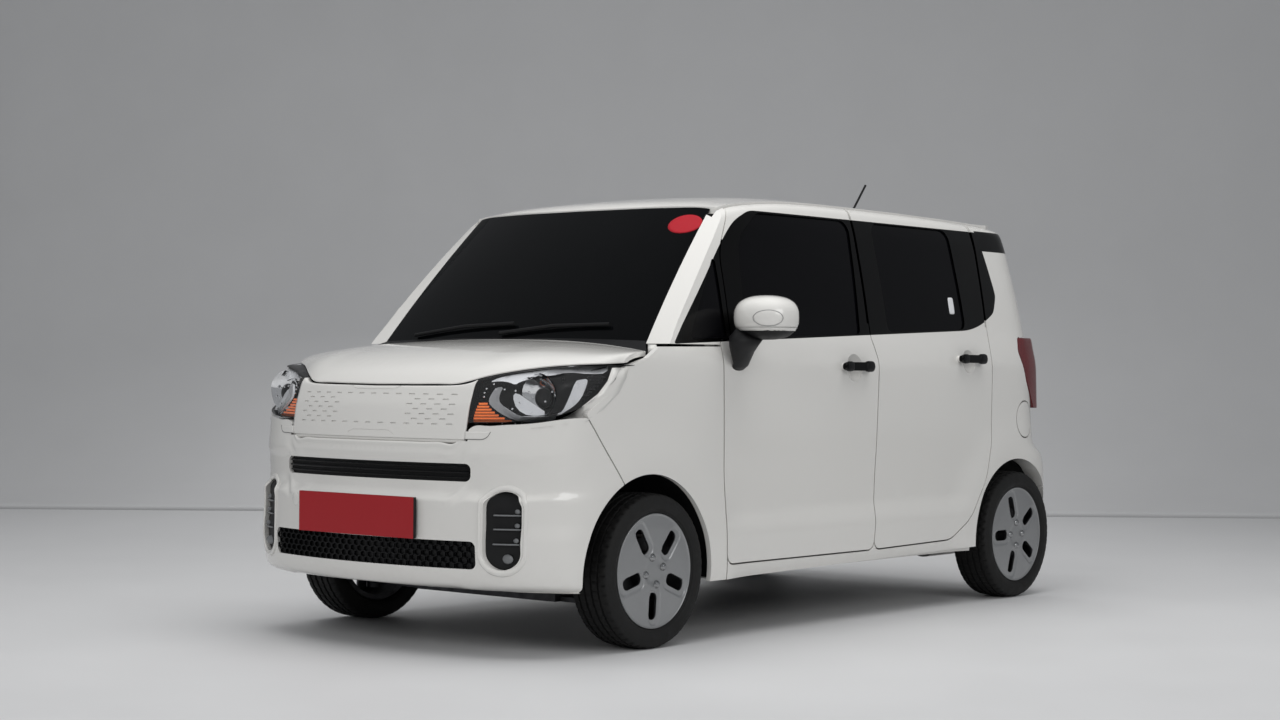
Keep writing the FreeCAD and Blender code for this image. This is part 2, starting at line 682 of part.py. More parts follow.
def make_side_frame(with_flap):
    """One body side: sill, pillars, quarter panel and roof rail, with both door openings."""
    far = WIDTH
    half_gap = SHUT_GAP / 2
    low = SIDE_FRAME_shares[0][1] * HEIGHT - OVERRUN
    places = stations(at_x(-OVERRUN), at_rear_y(TAILGATE_HALF + half_gap), 38)
    frame = wall_slab(places, low, panel_top, 36, 0.0, frame_depth)
    frame = frame.common(side_prism(side_points(SIDE_FRAME_shares), SIDE_FRAME_ROUNDS, 0.0, far))
    door_x = FRONT_DOOR_shares[0][0] * WHEELBASE
    behind = joined([screen_slab(-0.25, 1.25, 0.5, 1.5, 0.0, 0.0, REACH / 4),
                     box(SCREEN_TOP_X + OVERRUN * 2, REACH, 0, far, 0, HEIGHT),
                     box(door_x, REACH, 0, far, 0, BELT)])
    frame = frame.common(behind)
    openings = [side_prism(side_points(FRONT_DOOR_shares), FRONT_DOOR_ROUNDS, 0, far, half_gap),
                side_prism(side_points(REAR_DOOR_shares), REAR_DOOR_ROUNDS, 0, far, half_gap)]
    for opening in openings:
        frame = frame.cut(opening)
    frame = frame.cut(arch_cutter(True, 0, far))
    frame = frame.cut(arch_cutter(True, 0, REAR_LINER_OUT + SEAT, LINER + SEAT))
    frame = frame.cut(box(WHEELBASE, LENGTH, 0, TAILGATE_HALF - SKIN, 0, TAILGATE_BOTTOM))
    edge = roof_edge()
    frame = frame.cut(rail_prism(edge, RAIL_SINK / 2, -HEIGHT / 4, 0.0, ROOF_SIDE))
    lamp_edge = TAILGATE_HALF + SHUT_GAP
    frame = frame.cut(tail_lamp_body(-OVERRUN, TAIL_LAMP_SINK + SHUT_GAP / 2, SHUT_GAP / 2, lamp_edge))
    window = side_points(CORNER_WINDOW_shares)
    frame = frame.cut(side_prism(window, CORNER_WINDOW_ROUNDS, 0, far))
    if with_flap:
        pocket = wall_slab(stations(at_x(WHEELBASE - OVERRUN * 2), at_x(WHEELBASE + REAR_OVERHANG * 0.8), 8),
                           BELT / 2, BELT, 12, -OVERRUN / 4, FUEL_POCKET)
        frame = frame.cut(flap_prism(SHUT_GAP).common(pocket))
    b_x = FRONT_DOOR_shares[3][0] * WHEELBASE + B_PILLAR_SHIFT
    post = side_slab(b_x - B_PILLAR_WIDE / 2, b_x + B_PILLAR_WIDE / 2, 4, SILL_TOP - OVERRUN, B_PILLAR_TOP, 14,
                     DOOR_DEPTH + B_PILLAR_CLEAR, B_PILLAR_DEPTH)
    hinge_x = FRONT_DOOR_shares[-1][0] * WHEELBASE - half_gap
    hinge = side_slab(hinge_x - HINGE_POST_WIDE, hinge_x, 4, INNER_SILL_LOW, BELT + OVERRUN / 2,
                      20, SKIN + SHUT_GAP, HINGE_POST_DEPTH)
    hinge = hinge.cut(arch_cutter(False, 0, far, LINER_GROW + LINER + SEAT))
    sill = side_slab(hinge_x - HINGE_POST_WIDE, WHEELBASE - REAR_ARCH_R + REAR_ARCH_SHIFT, 10,
                     SILL_BOTTOM, SILL_TOP, 5, SKIN + SHUT_GAP / 2, SILL_DEPTH)
    for opening in openings:
        sill = sill.cut(opening)
    sill = sill.cut(arch_cutter(True, 0, far, SHEET)).cut(arch_cutter(False, 0, far, LINER_GROW + LINER + SEAT))
    inner_sill = box(WELL_REAR_X + OVERRUN, WHEELBASE - REAR_ARCH_R - OVERRUN, FLOOR_HALF,
                     HALF_WIDTH - SILL_DEPTH + SKIN, INNER_SILL_LOW, INNER_SILL_HIGH)
    rail = rail_prism(edge[:8], RAIL_SINK, RAIL_DROP, RAIL_IN, ROOF_SIDE - half_gap)
    frame = joined([frame, sill, post, hinge, rail, inner_sill])
    return frame.cut(screen_slab(-0.3, 1.2, 0.0, SCREEN_EDGE_share, -OVERRUN / 4, GLASS + SEAT * 2))


def flap_prism(grow):
    """The fuel flap's oval prism on the right; it is mirrored to the left."""
    centre = spot(FUEL_FLAP_shares[0] * WHEELBASE, HALF_WIDTH / 2, FUEL_FLAP_shares[1] * HEIGHT)
    high, wide = FUEL_FLAP_HALF_H + grow, FUEL_FLAP_HALF_W + grow
    oval = Part.Ellipse(centre + Vector(0, 0, high), centre + Vector(wide, 0, 0), centre)
    return Part.Face(Part.Wire([oval.toShape()])).extrude(Vector(0, HALF_WIDTH, 0))


def make_flap():
    """The fuel flap, on the right before it is mirrored."""
    slab = wall_slab(stations(at_x(WHEELBASE - OVERRUN * 2), at_x(WHEELBASE + REAR_OVERHANG * 0.8), 8),
                     BELT / 2, BELT, 12, 0.0, FUEL_FLAP_T)
    return slab.common(flap_prism(0.0))


def make_corner_glass():
    """The fixed three-cornered window ahead of a front door."""
    window = side_points(CORNER_WINDOW_shares)
    slab = side_slab(0.0, FRONT_DOOR_shares[0][0] * WHEELBASE + OVERRUN * 2, 8, BELT - OVERRUN, panel_top, 16,
                     GLASS_INSET, GLASS_INSET + GLASS)
    return slab.common(side_prism(window, CORNER_WINDOW_ROUNDS, 0, WIDTH, -SEAT))


def make_fender():
    """A front wing between the bumper, lamp, bonnet and door."""
    slab = side_slab(-FRONT_OVERHANG * 0.62, FRONT_DOOR_shares[0][0] * WHEELBASE + OVERRUN, 16,
                     FENDER_shares[0][1] * HEIGHT - OVERRUN / 2, BELT, 30, 0.0, SKIN)
    region = side_prism(side_points(FENDER_shares), FENDER_ROUNDS, 0, WIDTH, -SHUT_GAP / 2)
    return slab.common(region).cut(arch_cutter(False, 0, WIDTH))


def tail_lamp_body(outer, inner, grow, edge):
    """A block with the tail lamp's outline, between two depths of the rear corner, up to an edge."""
    places = stations(at_x(WHEELBASE - OVERRUN), at_rear_y(edge), 12)
    low, high = TAIL_LAMP_shares[0][1] * HEIGHT, TAIL_LAMP_shares[2][1] * HEIGHT
    slab = wall_slab(places, low - grow, high + grow, 10, outer, inner)
    return slab.common(side_prism(side_points(TAIL_LAMP_shares), TAIL_LAMP_ROUNDS, 0, WIDTH, grow))


def tail_lamp_face(place):
    """How far a tail lamp stands out of the body: most on its rearward face."""
    return -TAIL_LAMP_EDGE - TAIL_LAMP_PROUD * outward(place).x ** 2


def make_tail_lamp():
    """A tail lamp that bulges from the rear corner."""
    return tail_lamp_body(tail_lamp_face, TAIL_LAMP_SINK, 0.0, TAILGATE_HALF + SHUT_GAP * 2)


# Front end
BUMPER_LOW_shares = [(0.0, 0.1382), (0.75, 0.1330), (1.2, 0.1260)]
BUMPER_TOP_shares = [(0.0, 0.4382), (0.410, 0.4382), (0.440, 0.4690), (0.66, 0.4790), (0.84, 0.4907), (1.2, 0.4907)]
BUMPER_REAR_X = -60.0
GRILLE_LOW_share = 0.4418
POD_Y = 598.0
POD_Z = 441.0
POD_HALF_W = 62.0
POD_HALF_H = 134.0
SLOT_HALF = 468.0
SLOT_LOW = 605.0
SLOT_HIGH = 667.0
MESH_HALF = 510.0
MESH_LOW = 306.0
MESH_HIGH = 402.0
MESH_ROUND = 22.0
PLATE_HALF = 265.0
PLATE_LOW = 404.0
PLATE_HIGH = 548.0
PLATE_T = 3.0
PAD_PROUD = 5.0
TOW_Y = 372.0
TOW_Z = 512.0
TOW_R = 9.0

bumper_low = Profile(BUMPER_LOW_shares)
bumper_top = Profile(BUMPER_TOP_shares)


def pod_points(half_w, half_h, side):
    """The upright oblong of a bumper pod, in the front view."""
    y = side * POD_Y
    return [(y - half_w, POD_Z - half_h), (y + half_w, POD_Z - half_h), (y + half_w, POD_Z + half_h),
            (y - half_w, POD_Z + half_h)]


def pod_prism(half_w, half_h, side, x_low, x_high):
    """A prism along X with a pod's outline."""
    return front_prism(pod_points(half_w, half_h, side), [half_w * 0.98] * 4, x_low, x_high)


def slot_points():
    """The upper slot of the front bumper."""
    return [(-SLOT_HALF, SLOT_LOW), (SLOT_HALF, SLOT_LOW), (SLOT_HALF, SLOT_HIGH), (-SLOT_HALF, SLOT_HIGH)]


def mesh_points():
    """The lower opening of the front bumper."""
    return [(-MESH_HALF, MESH_LOW), (MESH_HALF, MESH_LOW), (MESH_HALF, MESH_HIGH), (-MESH_HALF, MESH_HIGH)]


def front_wall_slab(last, columns, low, high, count, outer, inner):
    """A plate round the whole front, from the left to the right."""
    right = [station(p) for p in front_stations(last, columns)]
    return wall_slab(both_sides(right), low, high, count, outer, inner)


def make_front_bumper():
    """The front bumper with its pods, slot, lower opening and plate pad."""
    body = front_wall_slab(at_x(BUMPER_REAR_X), 22, lambda p: bumper_low(share_of(p)) * HEIGHT,
                           lambda p: bumper_top(share_of(p)) * HEIGHT - SHUT_GAP, 34, 0.0, BUMPER_SKIN)
    body = body.cut(arch_cutter(False, -WIDTH, WIDTH))
    region = side_prism(side_points(FENDER_shares), FENDER_ROUNDS, 0, WIDTH, SHUT_GAP / 2)
    body = body.cut(region).cut(mirrored(region))
    body = body.cut(box(-FRONT_ARCH_R + FRONT_ARCH_SHIFT + OVERRUN, REACH, -WIDTH, WIDTH, 0, FRONT_ARCH_Z))
    x_back = -FRONT_OVERHANG * 0.6
    body = body.cut(box(-REACH, x_back, -LAMP_INNER_Y, LAMP_INNER_Y, GRILLE_LOW_share * HEIGHT - SHUT_GAP, HEIGHT))
    for side in (-1, 1):
        body = body.cut(pod_prism(POD_HALF_W, POD_HALF_H, side, -FRONT_OVERHANG - OVERRUN, x_back))
    body = body.cut(front_prism(slot_points(), [MESH_ROUND] * 4, -FRONT_OVERHANG - OVERRUN, x_back))
    body = body.cut(front_prism(mesh_points(), [MESH_ROUND] * 4, -FRONT_OVERHANG - OVERRUN, x_back))
    pad_front = -FRONT_OVERHANG + PLATE_T
    pad = box(pad_front, -FRONT_OVERHANG + OVERRUN / 2, -PLATE_HALF * 0.9, PLATE_HALF * 0.9,
              PLATE_LOW + PAD_PROUD, PLATE_HIGH - PAD_PROUD * 4)
    ahead = box(-FRONT_OVERHANG - OVERRUN, pad_front, -WIDTH, WIDTH, PLATE_LOW - PAD_PROUD, PLATE_HIGH)
    body = joined([body, pad]).cut(ahead)
    tow = Part.makeCylinder(TOW_R, OVERRUN * 3, spot(-FRONT_OVERHANG - OVERRUN, TOW_Y, TOW_Z), Vector(1, 0, 0))
    return body.cut(tow)


def make_plate():
    """The blank number plate."""
    points = [(-PLATE_HALF, PLATE_LOW), (PLATE_HALF, PLATE_LOW), (PLATE_HALF, PLATE_HIGH), (-PLATE_HALF, PLATE_HIGH)]
    return front_prism(points, [MESH_ROUND / 2] * 4, -FRONT_OVERHANG, -FRONT_OVERHANG + PLATE_T)


def make_front_grilles():
    """The black backs of the bumper's openings."""
    depth = BUMPER_SKIN
    back = front_wall_slab(at_x(-FRONT_OVERHANG * 0.5), 16, MESH_LOW - OVERRUN, SLOT_HIGH + OVERRUN, 20,
                           depth * 0.6, depth + OVERRUN / 4)
    keep = []
    x_low, x_high = -FRONT_OVERHANG - OVERRUN, -FRONT_OVERHANG * 0.6
    for side in (-1, 1):
        keep.append(pod_prism(POD_HALF_W - SEAT, POD_HALF_H - SEAT, side, x_low, x_high))
    keep.append(front_prism(slot_points(), [MESH_ROUND] * 4, x_low, x_high, -SEAT))
    keep.append(front_prism(mesh_points(), [MESH_ROUND] * 4, x_low, x_high, -SEAT))
    return Part.makeCompound([back.common(shape) for shape in keep])


def make_grille_panel():
    """The body-coloured panel between the lamps."""
    last = at_front_y(LAMP_INNER_Y - SHUT_GAP)
    return front_wall_slab(last, 8, GRILLE_LOW_share * HEIGHT, under_bonnet, 14, 0.0, SKIN)


def make_headlamp():
    """A headlamp from beside the grille to its tip on the wing."""
    first, last = at_front_y(LAMP_INNER_Y), at_x(LAMP_TIP_X - SHUT_GAP)
    reach = PLAN.length(PLAN.FirstParameter, first)
    span = PLAN.length(first, last)
    places = [station(PLAN.parameterAtDistance(reach + span * k / 13, PLAN.FirstParameter)) for k in range(14)]
    return wall_slab(places, lambda p: lamp_low(share_of(p)) * HEIGHT,
                     under_bonnet, 10, 0.0, LAMP_DEPTH)


REAR_BUMPER_LOW = 246.0
REAR_BUMPER_TOP = 654.0
TAIL_WINDOW_HALF = 536.0
TAIL_WINDOW_LOW = 1128.0
TAIL_WINDOW_HIGH = 1566.0
TAIL_WINDOW_ROUND = 50.0


def make_rear_bumper():
    """The rear bumper, from one rear arch round to the other."""
    right = stations(at_x(WHEELBASE + REAR_ARCH_R * 0.3), PLAN.LastParameter, 16)
    body = wall_slab(both_sides(right, True), REAR_BUMPER_LOW, REAR_BUMPER_TOP - SHUT_GAP, 24, 0.0, BUMPER_SKIN)
    quarter = side_points([SIDE_FRAME_shares[k] for k in (2, 3, 4, 5)])
    x_far = quarter[-1][0]
    quarter += [(x_far, HEIGHT), (quarter[0][0] - OVERRUN * 4, HEIGHT)]
    region = side_prism(quarter, [0.0] * len(quarter), TAILGATE_HALF - SKIN, WIDTH, SHUT_GAP)
    arch = arch_cutter(True, REAR_WELL_HALF - SHEET, WIDTH)
    for cutter in (region, arch):
        body = body.cut(cutter).cut(mirrored(cutter))
    return body


def tailgate_top(place):
    """The tailgate's highest row, a gap under the roof's rear edge."""
    z = TAILGATE_TOP
    for _ in range(6):
        point = wall(place, z, 0.0)
        z = roof_height(point.x - AXLE_X, point.y) - ROOF_SKIN - SHUT_GAP
    return z


def make_tailgate():
    """The tailgate and its glass, hinged at the roof."""
    right = stations(at_rear_y(TAILGATE_HALF - SHUT_GAP / 2), PLAN.LastParameter, 9)
    places = both_sides(right, True)
    panel = wall_slab(places, TAILGATE_BOTTOM + SHUT_GAP / 2, tailgate_top, 30, 0.0, TAILGATE_DEPTH)
    corners = [(-TAIL_WINDOW_HALF, TAIL_WINDOW_LOW), (TAIL_WINDOW_HALF, TAIL_WINDOW_LOW),
               (TAIL_WINDOW_HALF, TAIL_WINDOW_HIGH), (-TAIL_WINDOW_HALF, TAIL_WINDOW_HIGH)]
    x_low = WHEELBASE
    x_high = WHEELBASE + REAR_OVERHANG + OVERRUN
    panel = panel.cut(front_prism(corners, [TAIL_WINDOW_ROUND] * 4, x_low, x_high))
    glass = wall_slab(places, TAIL_WINDOW_LOW - OVERRUN, TAIL_WINDOW_HIGH + OVERRUN / 2, 12, GLASS_INSET,
                      GLASS_INSET + GLASS)
    return panel, glass.common(front_prism(corners, [TAIL_WINDOW_ROUND] * 4, x_low, x_high, -SEAT))


# Wheels, on the right at the front before they are moved
BEAD_HALF = 66.5
DISC_RISE = 8.0
DISC_FLAT_R = 168.0
DISC_DROP = 10.0
HAT_R = 70.0
HAT_WALL = 6.0
BRAKE_R = 118.0
BRAKE_T = 10.0
BRAKE_SHIFT = 12.0
SLOT_FROM_R = 77.0
SLOT_TO_R = 174.0
SLOT_HALF_W = 23.0
SLOT_ROUND = 20.0
FRONT_WHEEL_TURN = 40.0
REAR_WHEEL_TURN = 54.0


def revolved(points, rounds):
    """A solid of revolution about the wheel's axle; points are (place along Y, radius)."""
    wire = outline(rounded(points, rounds), lambda y, r: Vector(0, y, r))
    return Part.Face(wire).revolve(Vector(0, 0, 0), Vector(0, 1, 0), 360)


def make_tyre():
    """A tyre as one ring, centred at the origin."""
    half = TYRE_W / 2
    right = [(BEAD_HALF, BEAD_R + SEAT), (BEAD_HALF, FLANGE_R + SEAT * 2), (RIM_HALF + SEAT, FLANGE_R + SEAT * 2),
             (half, FLANGE_R + (TYRE_R - FLANGE_R) * 0.42), (half * 0.97, FLANGE_R + (TYRE_R - FLANGE_R) * 0.80),
             (half * 0.82, TYRE_R)]
    rounds = [0.0, 0.0, 4.0, 34.0, 20.0, 12.0]
    points = [(-y, r) for y, r in right] + [(y, r) for y, r in right[::-1]]
    return revolved(points, rounds + rounds[::-1])


def make_rim(turn):
    """A rim with its disc, hub hat and brake disc, outer face towards +Y, its slots turned by an angle."""
    low = BEAD_R - RIM_WALL
    bead = BEAD_HALF + SEAT
    barrel = revolved([(-RIM_HALF, low), (-RIM_HALF, FLANGE_R), (-bead, FLANGE_R), (-bead, BEAD_R),
                       (bead, BEAD_R), (bead, FLANGE_R), (RIM_HALF, FLANGE_R), (RIM_HALF, low)],
                      [0.0, 3.0, 3.0, 0.0, 0.0, 3.0, 3.0, 0.0])
    face = DISC_OUT
    back = face - DISC_T
    foot = low + RIM_WALL / 2
    disc = revolved([(face - DISC_DROP, BORE_R), (face - DISC_DROP, HUB_R), (face, HUB_R + DISC_DROP * 2),
                     (face, DISC_FLAT_R), (face - DISC_RISE, foot), (back - DISC_RISE, foot),
                     (back, DISC_FLAT_R), (back, HUB_R + DISC_DROP * 2), (back - DISC_DROP, HUB_R),
                     (back - DISC_DROP, BORE_R)],
                    [0.0, 8.0, 8.0, 10.0, 0.0, 0.0, 10.0, 8.0, 8.0, 0.0])
    hat_end = back - DISC_DROP + RIM_WALL / 2
    hat = revolved([(BRAKE_SHIFT, HAT_R - HAT_WALL), (hat_end, HAT_R - HAT_WALL), (hat_end, HAT_R),
                    (BRAKE_SHIFT + BRAKE_T, HAT_R), (BRAKE_SHIFT + BRAKE_T, BRAKE_R), (BRAKE_SHIFT, BRAKE_R)],
                   [0.0] * 6)
    rim = joined([barrel, disc, hat])
    for k in range(SPOKE_HOLES):
        slot = [(-SLOT_HALF_W, SLOT_FROM_R), (SLOT_HALF_W, SLOT_FROM_R), (SLOT_HALF_W, SLOT_TO_R),
                (-SLOT_HALF_W, SLOT_TO_R)]
        wire = outline(rounded(slot, [SLOT_ROUND] * 4), lambda x, z: Vector(x, back - DISC_DROP, z))
        cutter = Part.Face(wire).extrude(Vector(0, DISC_T * 4, 0))
        cutter.rotate(Vector(0, 0, 0), Vector(0, 1, 0), 360.0 / SPOKE_HOLES * k + turn)
        rim = rim.cut(cutter)
    for k in range(STUDS):
        angle = math.radians(360.0 / STUDS * (k + 0.5))
        centre = Vector(math.sin(angle) * STUD_PCD / 2, back - DISC_DROP * 2, math.cos(angle) * STUD_PCD / 2)
        rim = rim.cut(Part.makeCylinder(STUD_HOLE_R, DISC_T * 4, centre, Vector(0, 1, 0)))
    return rim


# Front suspension
STEER_Y = 672.0
BALL_Z = 150.0
STRUT_TOP_Y = 546.0
STRUT_TOP_Z = 846.0
STRUT_LOW_Y = 588.0
STRUT_LOW_Z = 380.0
STRUT_R = 23.0
SPRING_R = 52.0
SPRING_LOW_Z = 610.0
SPRING_HIGH_Z = 800.0
BALL_R = 14.0
BALL_STEM_R = 8.0
SOCKET_R = 24.0
UPRIGHT_HALF = 34.0
UPRIGHT_Y_LOW = 640.0
UPRIGHT_Y_HIGH = 700.0
SPINDLE_SHOULDER = 36.0
ARM_INNER_Y = 340.0
ARM_T = 18.0
SUBFRAME_HALF = 360.0


def make_knuckle():
    """The right-hand knuckle with its spindle and strut."""
    hub = TRACK / 2
    spindle = cylinder_y(0, TYRE_R, BORE_R - PIN_GAP, UPRIGHT_Y_HIGH - SEAT, hub + DISC_OUT - DISC_DROP - DISC_T / 2)
    shoulder = cylinder_y(0, TYRE_R, SPINDLE_SHOULDER, UPRIGHT_Y_LOW, hub + BRAKE_SHIFT + BRAKE_T)
    upright = box(-UPRIGHT_HALF, UPRIGHT_HALF, UPRIGHT_Y_LOW, UPRIGHT_Y_HIGH, BALL_Z + BALL_R * 2,
                  STRUT_LOW_Z + STRUT_R)
    lower_boss = box(-UPRIGHT_HALF * 0.7, UPRIGHT_HALF * 0.7, STEER_Y - UPRIGHT_HALF, STEER_Y + UPRIGHT_HALF * 0.7,
                     BALL_Z + BALL_R + SEAT * 10, BALL_Z + BALL_R * 3)
    clamp = box(-UPRIGHT_HALF * 0.8, UPRIGHT_HALF * 0.8, STRUT_LOW_Y - STRUT_R, UPRIGHT_Y_LOW + STRUT_R,
                STRUT_LOW_Z - UPRIGHT_HALF, STRUT_LOW_Z + STRUT_R)
    line = Vector(0, STRUT_TOP_Y - STRUT_LOW_Y, STRUT_TOP_Z - STRUT_LOW_Z)
    length = line.Length
    unit = line * (1 / length)
    foot = spot(0, STRUT_LOW_Y, STRUT_LOW_Z)
    tube = Part.makeCylinder(STRUT_R, length, foot, unit)
    low = (SPRING_LOW_Z - STRUT_LOW_Z) / unit.z
    high = (SPRING_HIGH_Z - STRUT_LOW_Z) / unit.z
    spring = Part.makeCylinder(SPRING_R, high - low, foot + unit * low, unit)
    ball = Part.makeSphere(BALL_R, spot(0, STEER_Y, BALL_Z))
    slope = Vector(0, STRUT_TOP_Y - STEER_Y, STRUT_TOP_Z - BALL_Z)
    stem = Part.makeCylinder(BALL_STEM_R, BALL_R * 2.5, spot(0, STEER_Y, BALL_Z), slope)
    return joined([upright, shoulder, spindle, lower_boss, clamp, tube, spring, stem, ball])


def make_front_suspension():
    """The subframe, both lower arms and the steering rack."""
    z = BALL_Z - ARM_T / 2
    frame = joined([
        box(-OVERRUN, OVERRUN * 3, -SUBFRAME_HALF, SUBFRAME_HALF, z, z + ARM_T * 2),
        box(OVERRUN * 1.5, OVERRUN * 2.5, -SUBFRAME_HALF, SUBFRAME_HALF, z + ARM_T, BALL_Z + OVERRUN + ARM_T)])
    rack = cylinder_y(OVERRUN * 2, BALL_Z + OVERRUN + ARM_T * 1.5, ARM_T, -SUBFRAME_HALF, SUBFRAME_HALF)
    for side in (-1, 1):
        points = [(-OVERRUN / 2, side * ARM_INNER_Y), (OVERRUN * 2.8, side * ARM_INNER_Y),
                  (OVERRUN * 2.5, side * (ARM_INNER_Y + OVERRUN)), (SOCKET_R, side * (STEER_Y - SOCKET_R / 2)),
                  (-SOCKET_R, side * (STEER_Y - SOCKET_R / 2)), (-SOCKET_R * 1.4, side * (ARM_INNER_Y + OVERRUN))]
        wire = outline(rounded(points, [0.0, 0.0, 40.0, 0.0, 0.0, 60.0]), lambda x, y: spot(x, y, z))
        arm = Part.Face(wire).extrude(Vector(0, 0, ARM_T))
        socket = Part.makeCylinder(SOCKET_R, BALL_R * 2, spot(0, side * STEER_Y, BALL_Z + 2 * PIN_GAP - BALL_R * 2))
        frame = joined([frame, arm, socket])
        frame = frame.cut(Part.makeSphere(BALL_R + PIN_GAP, spot(0, side * STEER_Y, BALL_Z)))
    return joined([frame, rack])


AXLE_R = 32.0
AXLE_SHIFT = -70.0
TRAIL_ARM_Y = 500.0
TRAIL_ARM_X = 2180.0
TRAIL_ARM_R = 26.0
DRUM_R = 96.0
DRUM_INNER_Y = 648.0


def make_rear_axle():
    """The rear axle's beam, arms and stub spindles."""
    x = WHEELBASE
    hub = TRACK / 2
    beam = cylinder_y(x + AXLE_SHIFT, TYRE_R, AXLE_R, -TRAIL_ARM_Y, TRAIL_ARM_Y)
    pieces = [beam]
    for side in (-1, 1):
        a, b = sorted((side * TRAIL_ARM_Y, side * (DRUM_INNER_Y + AXLE_R)))
        half = AXLE_R / 2
        pieces.append(box(x + AXLE_SHIFT - half, x + AXLE_R, a, b, TYRE_R - half, TYRE_R + half))
        pieces.append(Part.makeCylinder(TRAIL_ARM_R, x + AXLE_SHIFT - TRAIL_ARM_X,
                                        spot(TRAIL_ARM_X, side * TRAIL_ARM_Y, TYRE_R), Vector(1, 0, 0)))
        a, b = sorted((side * DRUM_INNER_Y, side * (hub + BRAKE_SHIFT - ARM_T / 2)))
        pieces.append(cylinder_y(x, TYRE_R, DRUM_R, a, b))
        a, b = sorted((side * (DRUM_INNER_Y + ARM_T), side * (hub + BRAKE_SHIFT + BRAKE_T)))
        pieces.append(cylinder_y(x, TYRE_R, SPINDLE_SHOULDER, a, b))
        a, b = sorted((side * (DRUM_INNER_Y + ARM_T), side * (hub + DISC_OUT - DISC_DROP - DISC_T / 2)))
        pieces.append(cylinder_y(x, TYRE_R, BORE_R - PIN_GAP, a, b))
        pieces.append(cylinder_y(TRAIL_ARM_X, TYRE_R, TRAIL_ARM_R * 1.4, side * TRAIL_ARM_Y - AXLE_R,
                                 side * TRAIL_ARM_Y + AXLE_R))
    return joined(pieces)


# Floor, inner structure and running gear
FLOOR_Z = 222.0
FLOOR_T = 18.0
FLOOR_HALF = 627.0
TOE_X = 150.0
WELL_REAR_X = 344.0
SHEET = 10.0
SHELF_Z = 660.0
BULKHEAD_Z = 838.0
REAR_STEP_X = 2132.0
REAR_FLOOR_Z = 440.0
REAR_FLOOR_X = 2690.0
REAR_FLOOR_HALF = 548.0
LINER_GROW = 21.0
LINER_REAR_X = 2790.0
LINER_REAR_Z = 462.0
LINER_FRONT_X = -250.0
LINER_FRONT_OUT = 690.0
REAR_LINER_OUT = 707.5


def make_floor():
    """The floor with its footwells, bulkhead, seat step and load floor."""
    half = FLOOR_HALF - SEAT
    well = FRONT_WELL_HALF
    pieces = [
        box(WELL_REAR_X, REAR_STEP_X, -half, half, FLOOR_Z, FLOOR_Z + FLOOR_T),
        box(TOE_X, WELL_REAR_X + SHEET, -well, well, FLOOR_Z, FLOOR_Z + FLOOR_T),
        box(TOE_X, TOE_X + SHEET, -well, well, FLOOR_Z, BULKHEAD_Z),
        box(TOE_X, TOE_X + SHEET, -half, half, SHELF_Z, BULKHEAD_Z),
        box(REAR_STEP_X - SHEET, REAR_STEP_X, -REAR_FLOOR_HALF, REAR_FLOOR_HALF, FLOOR_Z, REAR_FLOOR_Z + FLOOR_T),
        box(REAR_STEP_X - SHEET, REAR_FLOOR_X, -REAR_FLOOR_HALF, REAR_FLOOR_HALF, REAR_FLOOR_Z,
            REAR_FLOOR_Z + FLOOR_T)]
    for side in (-1, 1):
        a, b = sorted((side * (well - SHEET), side * half))
        pieces.append(box(WELL_REAR_X, WELL_REAR_X + SHEET, a, b, FLOOR_Z, SHELF_Z + SHEET))
        pieces.append(box(TOE_X, WELL_REAR_X + SHEET, a, b, SHELF_Z, SHELF_Z + SHEET))
        a, b = sorted((side * (well - SHEET), side * well))
        pieces.append(box(TOE_X, WELL_REAR_X + SHEET, a, b, FLOOR_Z, SHELF_Z + SHEET))
    return joined(pieces)


APRON_FRONT_X = -560.0
APRON_LOW = 300.0
APRON_HIGH = 790.0
TOWER_HALF = 95.0
TOWER_OUT_Y = 640.0
BEAM_HALF = 420.0
BEAM_LOW = 420.0
BEAM_HIGH = 520.0
BEAM_BACK = 50.0


def make_front_structure():
    """The inner wings, strut towers and bumper beam."""
    pieces = []
    for side in (-1, 1):
        a, b = sorted((side * (FRONT_WELL_HALF - SHEET), side * FRONT_WELL_HALF))
        pieces.append(box(APRON_FRONT_X, TOE_X - SEAT, a, b, APRON_LOW, APRON_HIGH))
        a, b = sorted((side * (FRONT_WELL_HALF - SHEET), side * TOWER_OUT_Y))
        pieces.append(box(-TOWER_HALF, TOWER_HALF, a, b, STRUT_TOP_Z + SHUT_GAP, STRUT_TOP_Z + SHUT_GAP + SHEET))
        a, b = sorted((side * (FRONT_WELL_HALF - SHEET), side * FRONT_WELL_HALF))
        pieces.append(box(-TOWER_HALF, TOWER_HALF, a, b, APRON_LOW, STRUT_TOP_Z + SHUT_GAP + SHEET))
    pieces.append(box(APRON_FRONT_X - BEAM_BACK, APRON_FRONT_X + SHEET, -BEAM_HALF, BEAM_HALF, BEAM_LOW, BEAM_HIGH))
    return joined(pieces)


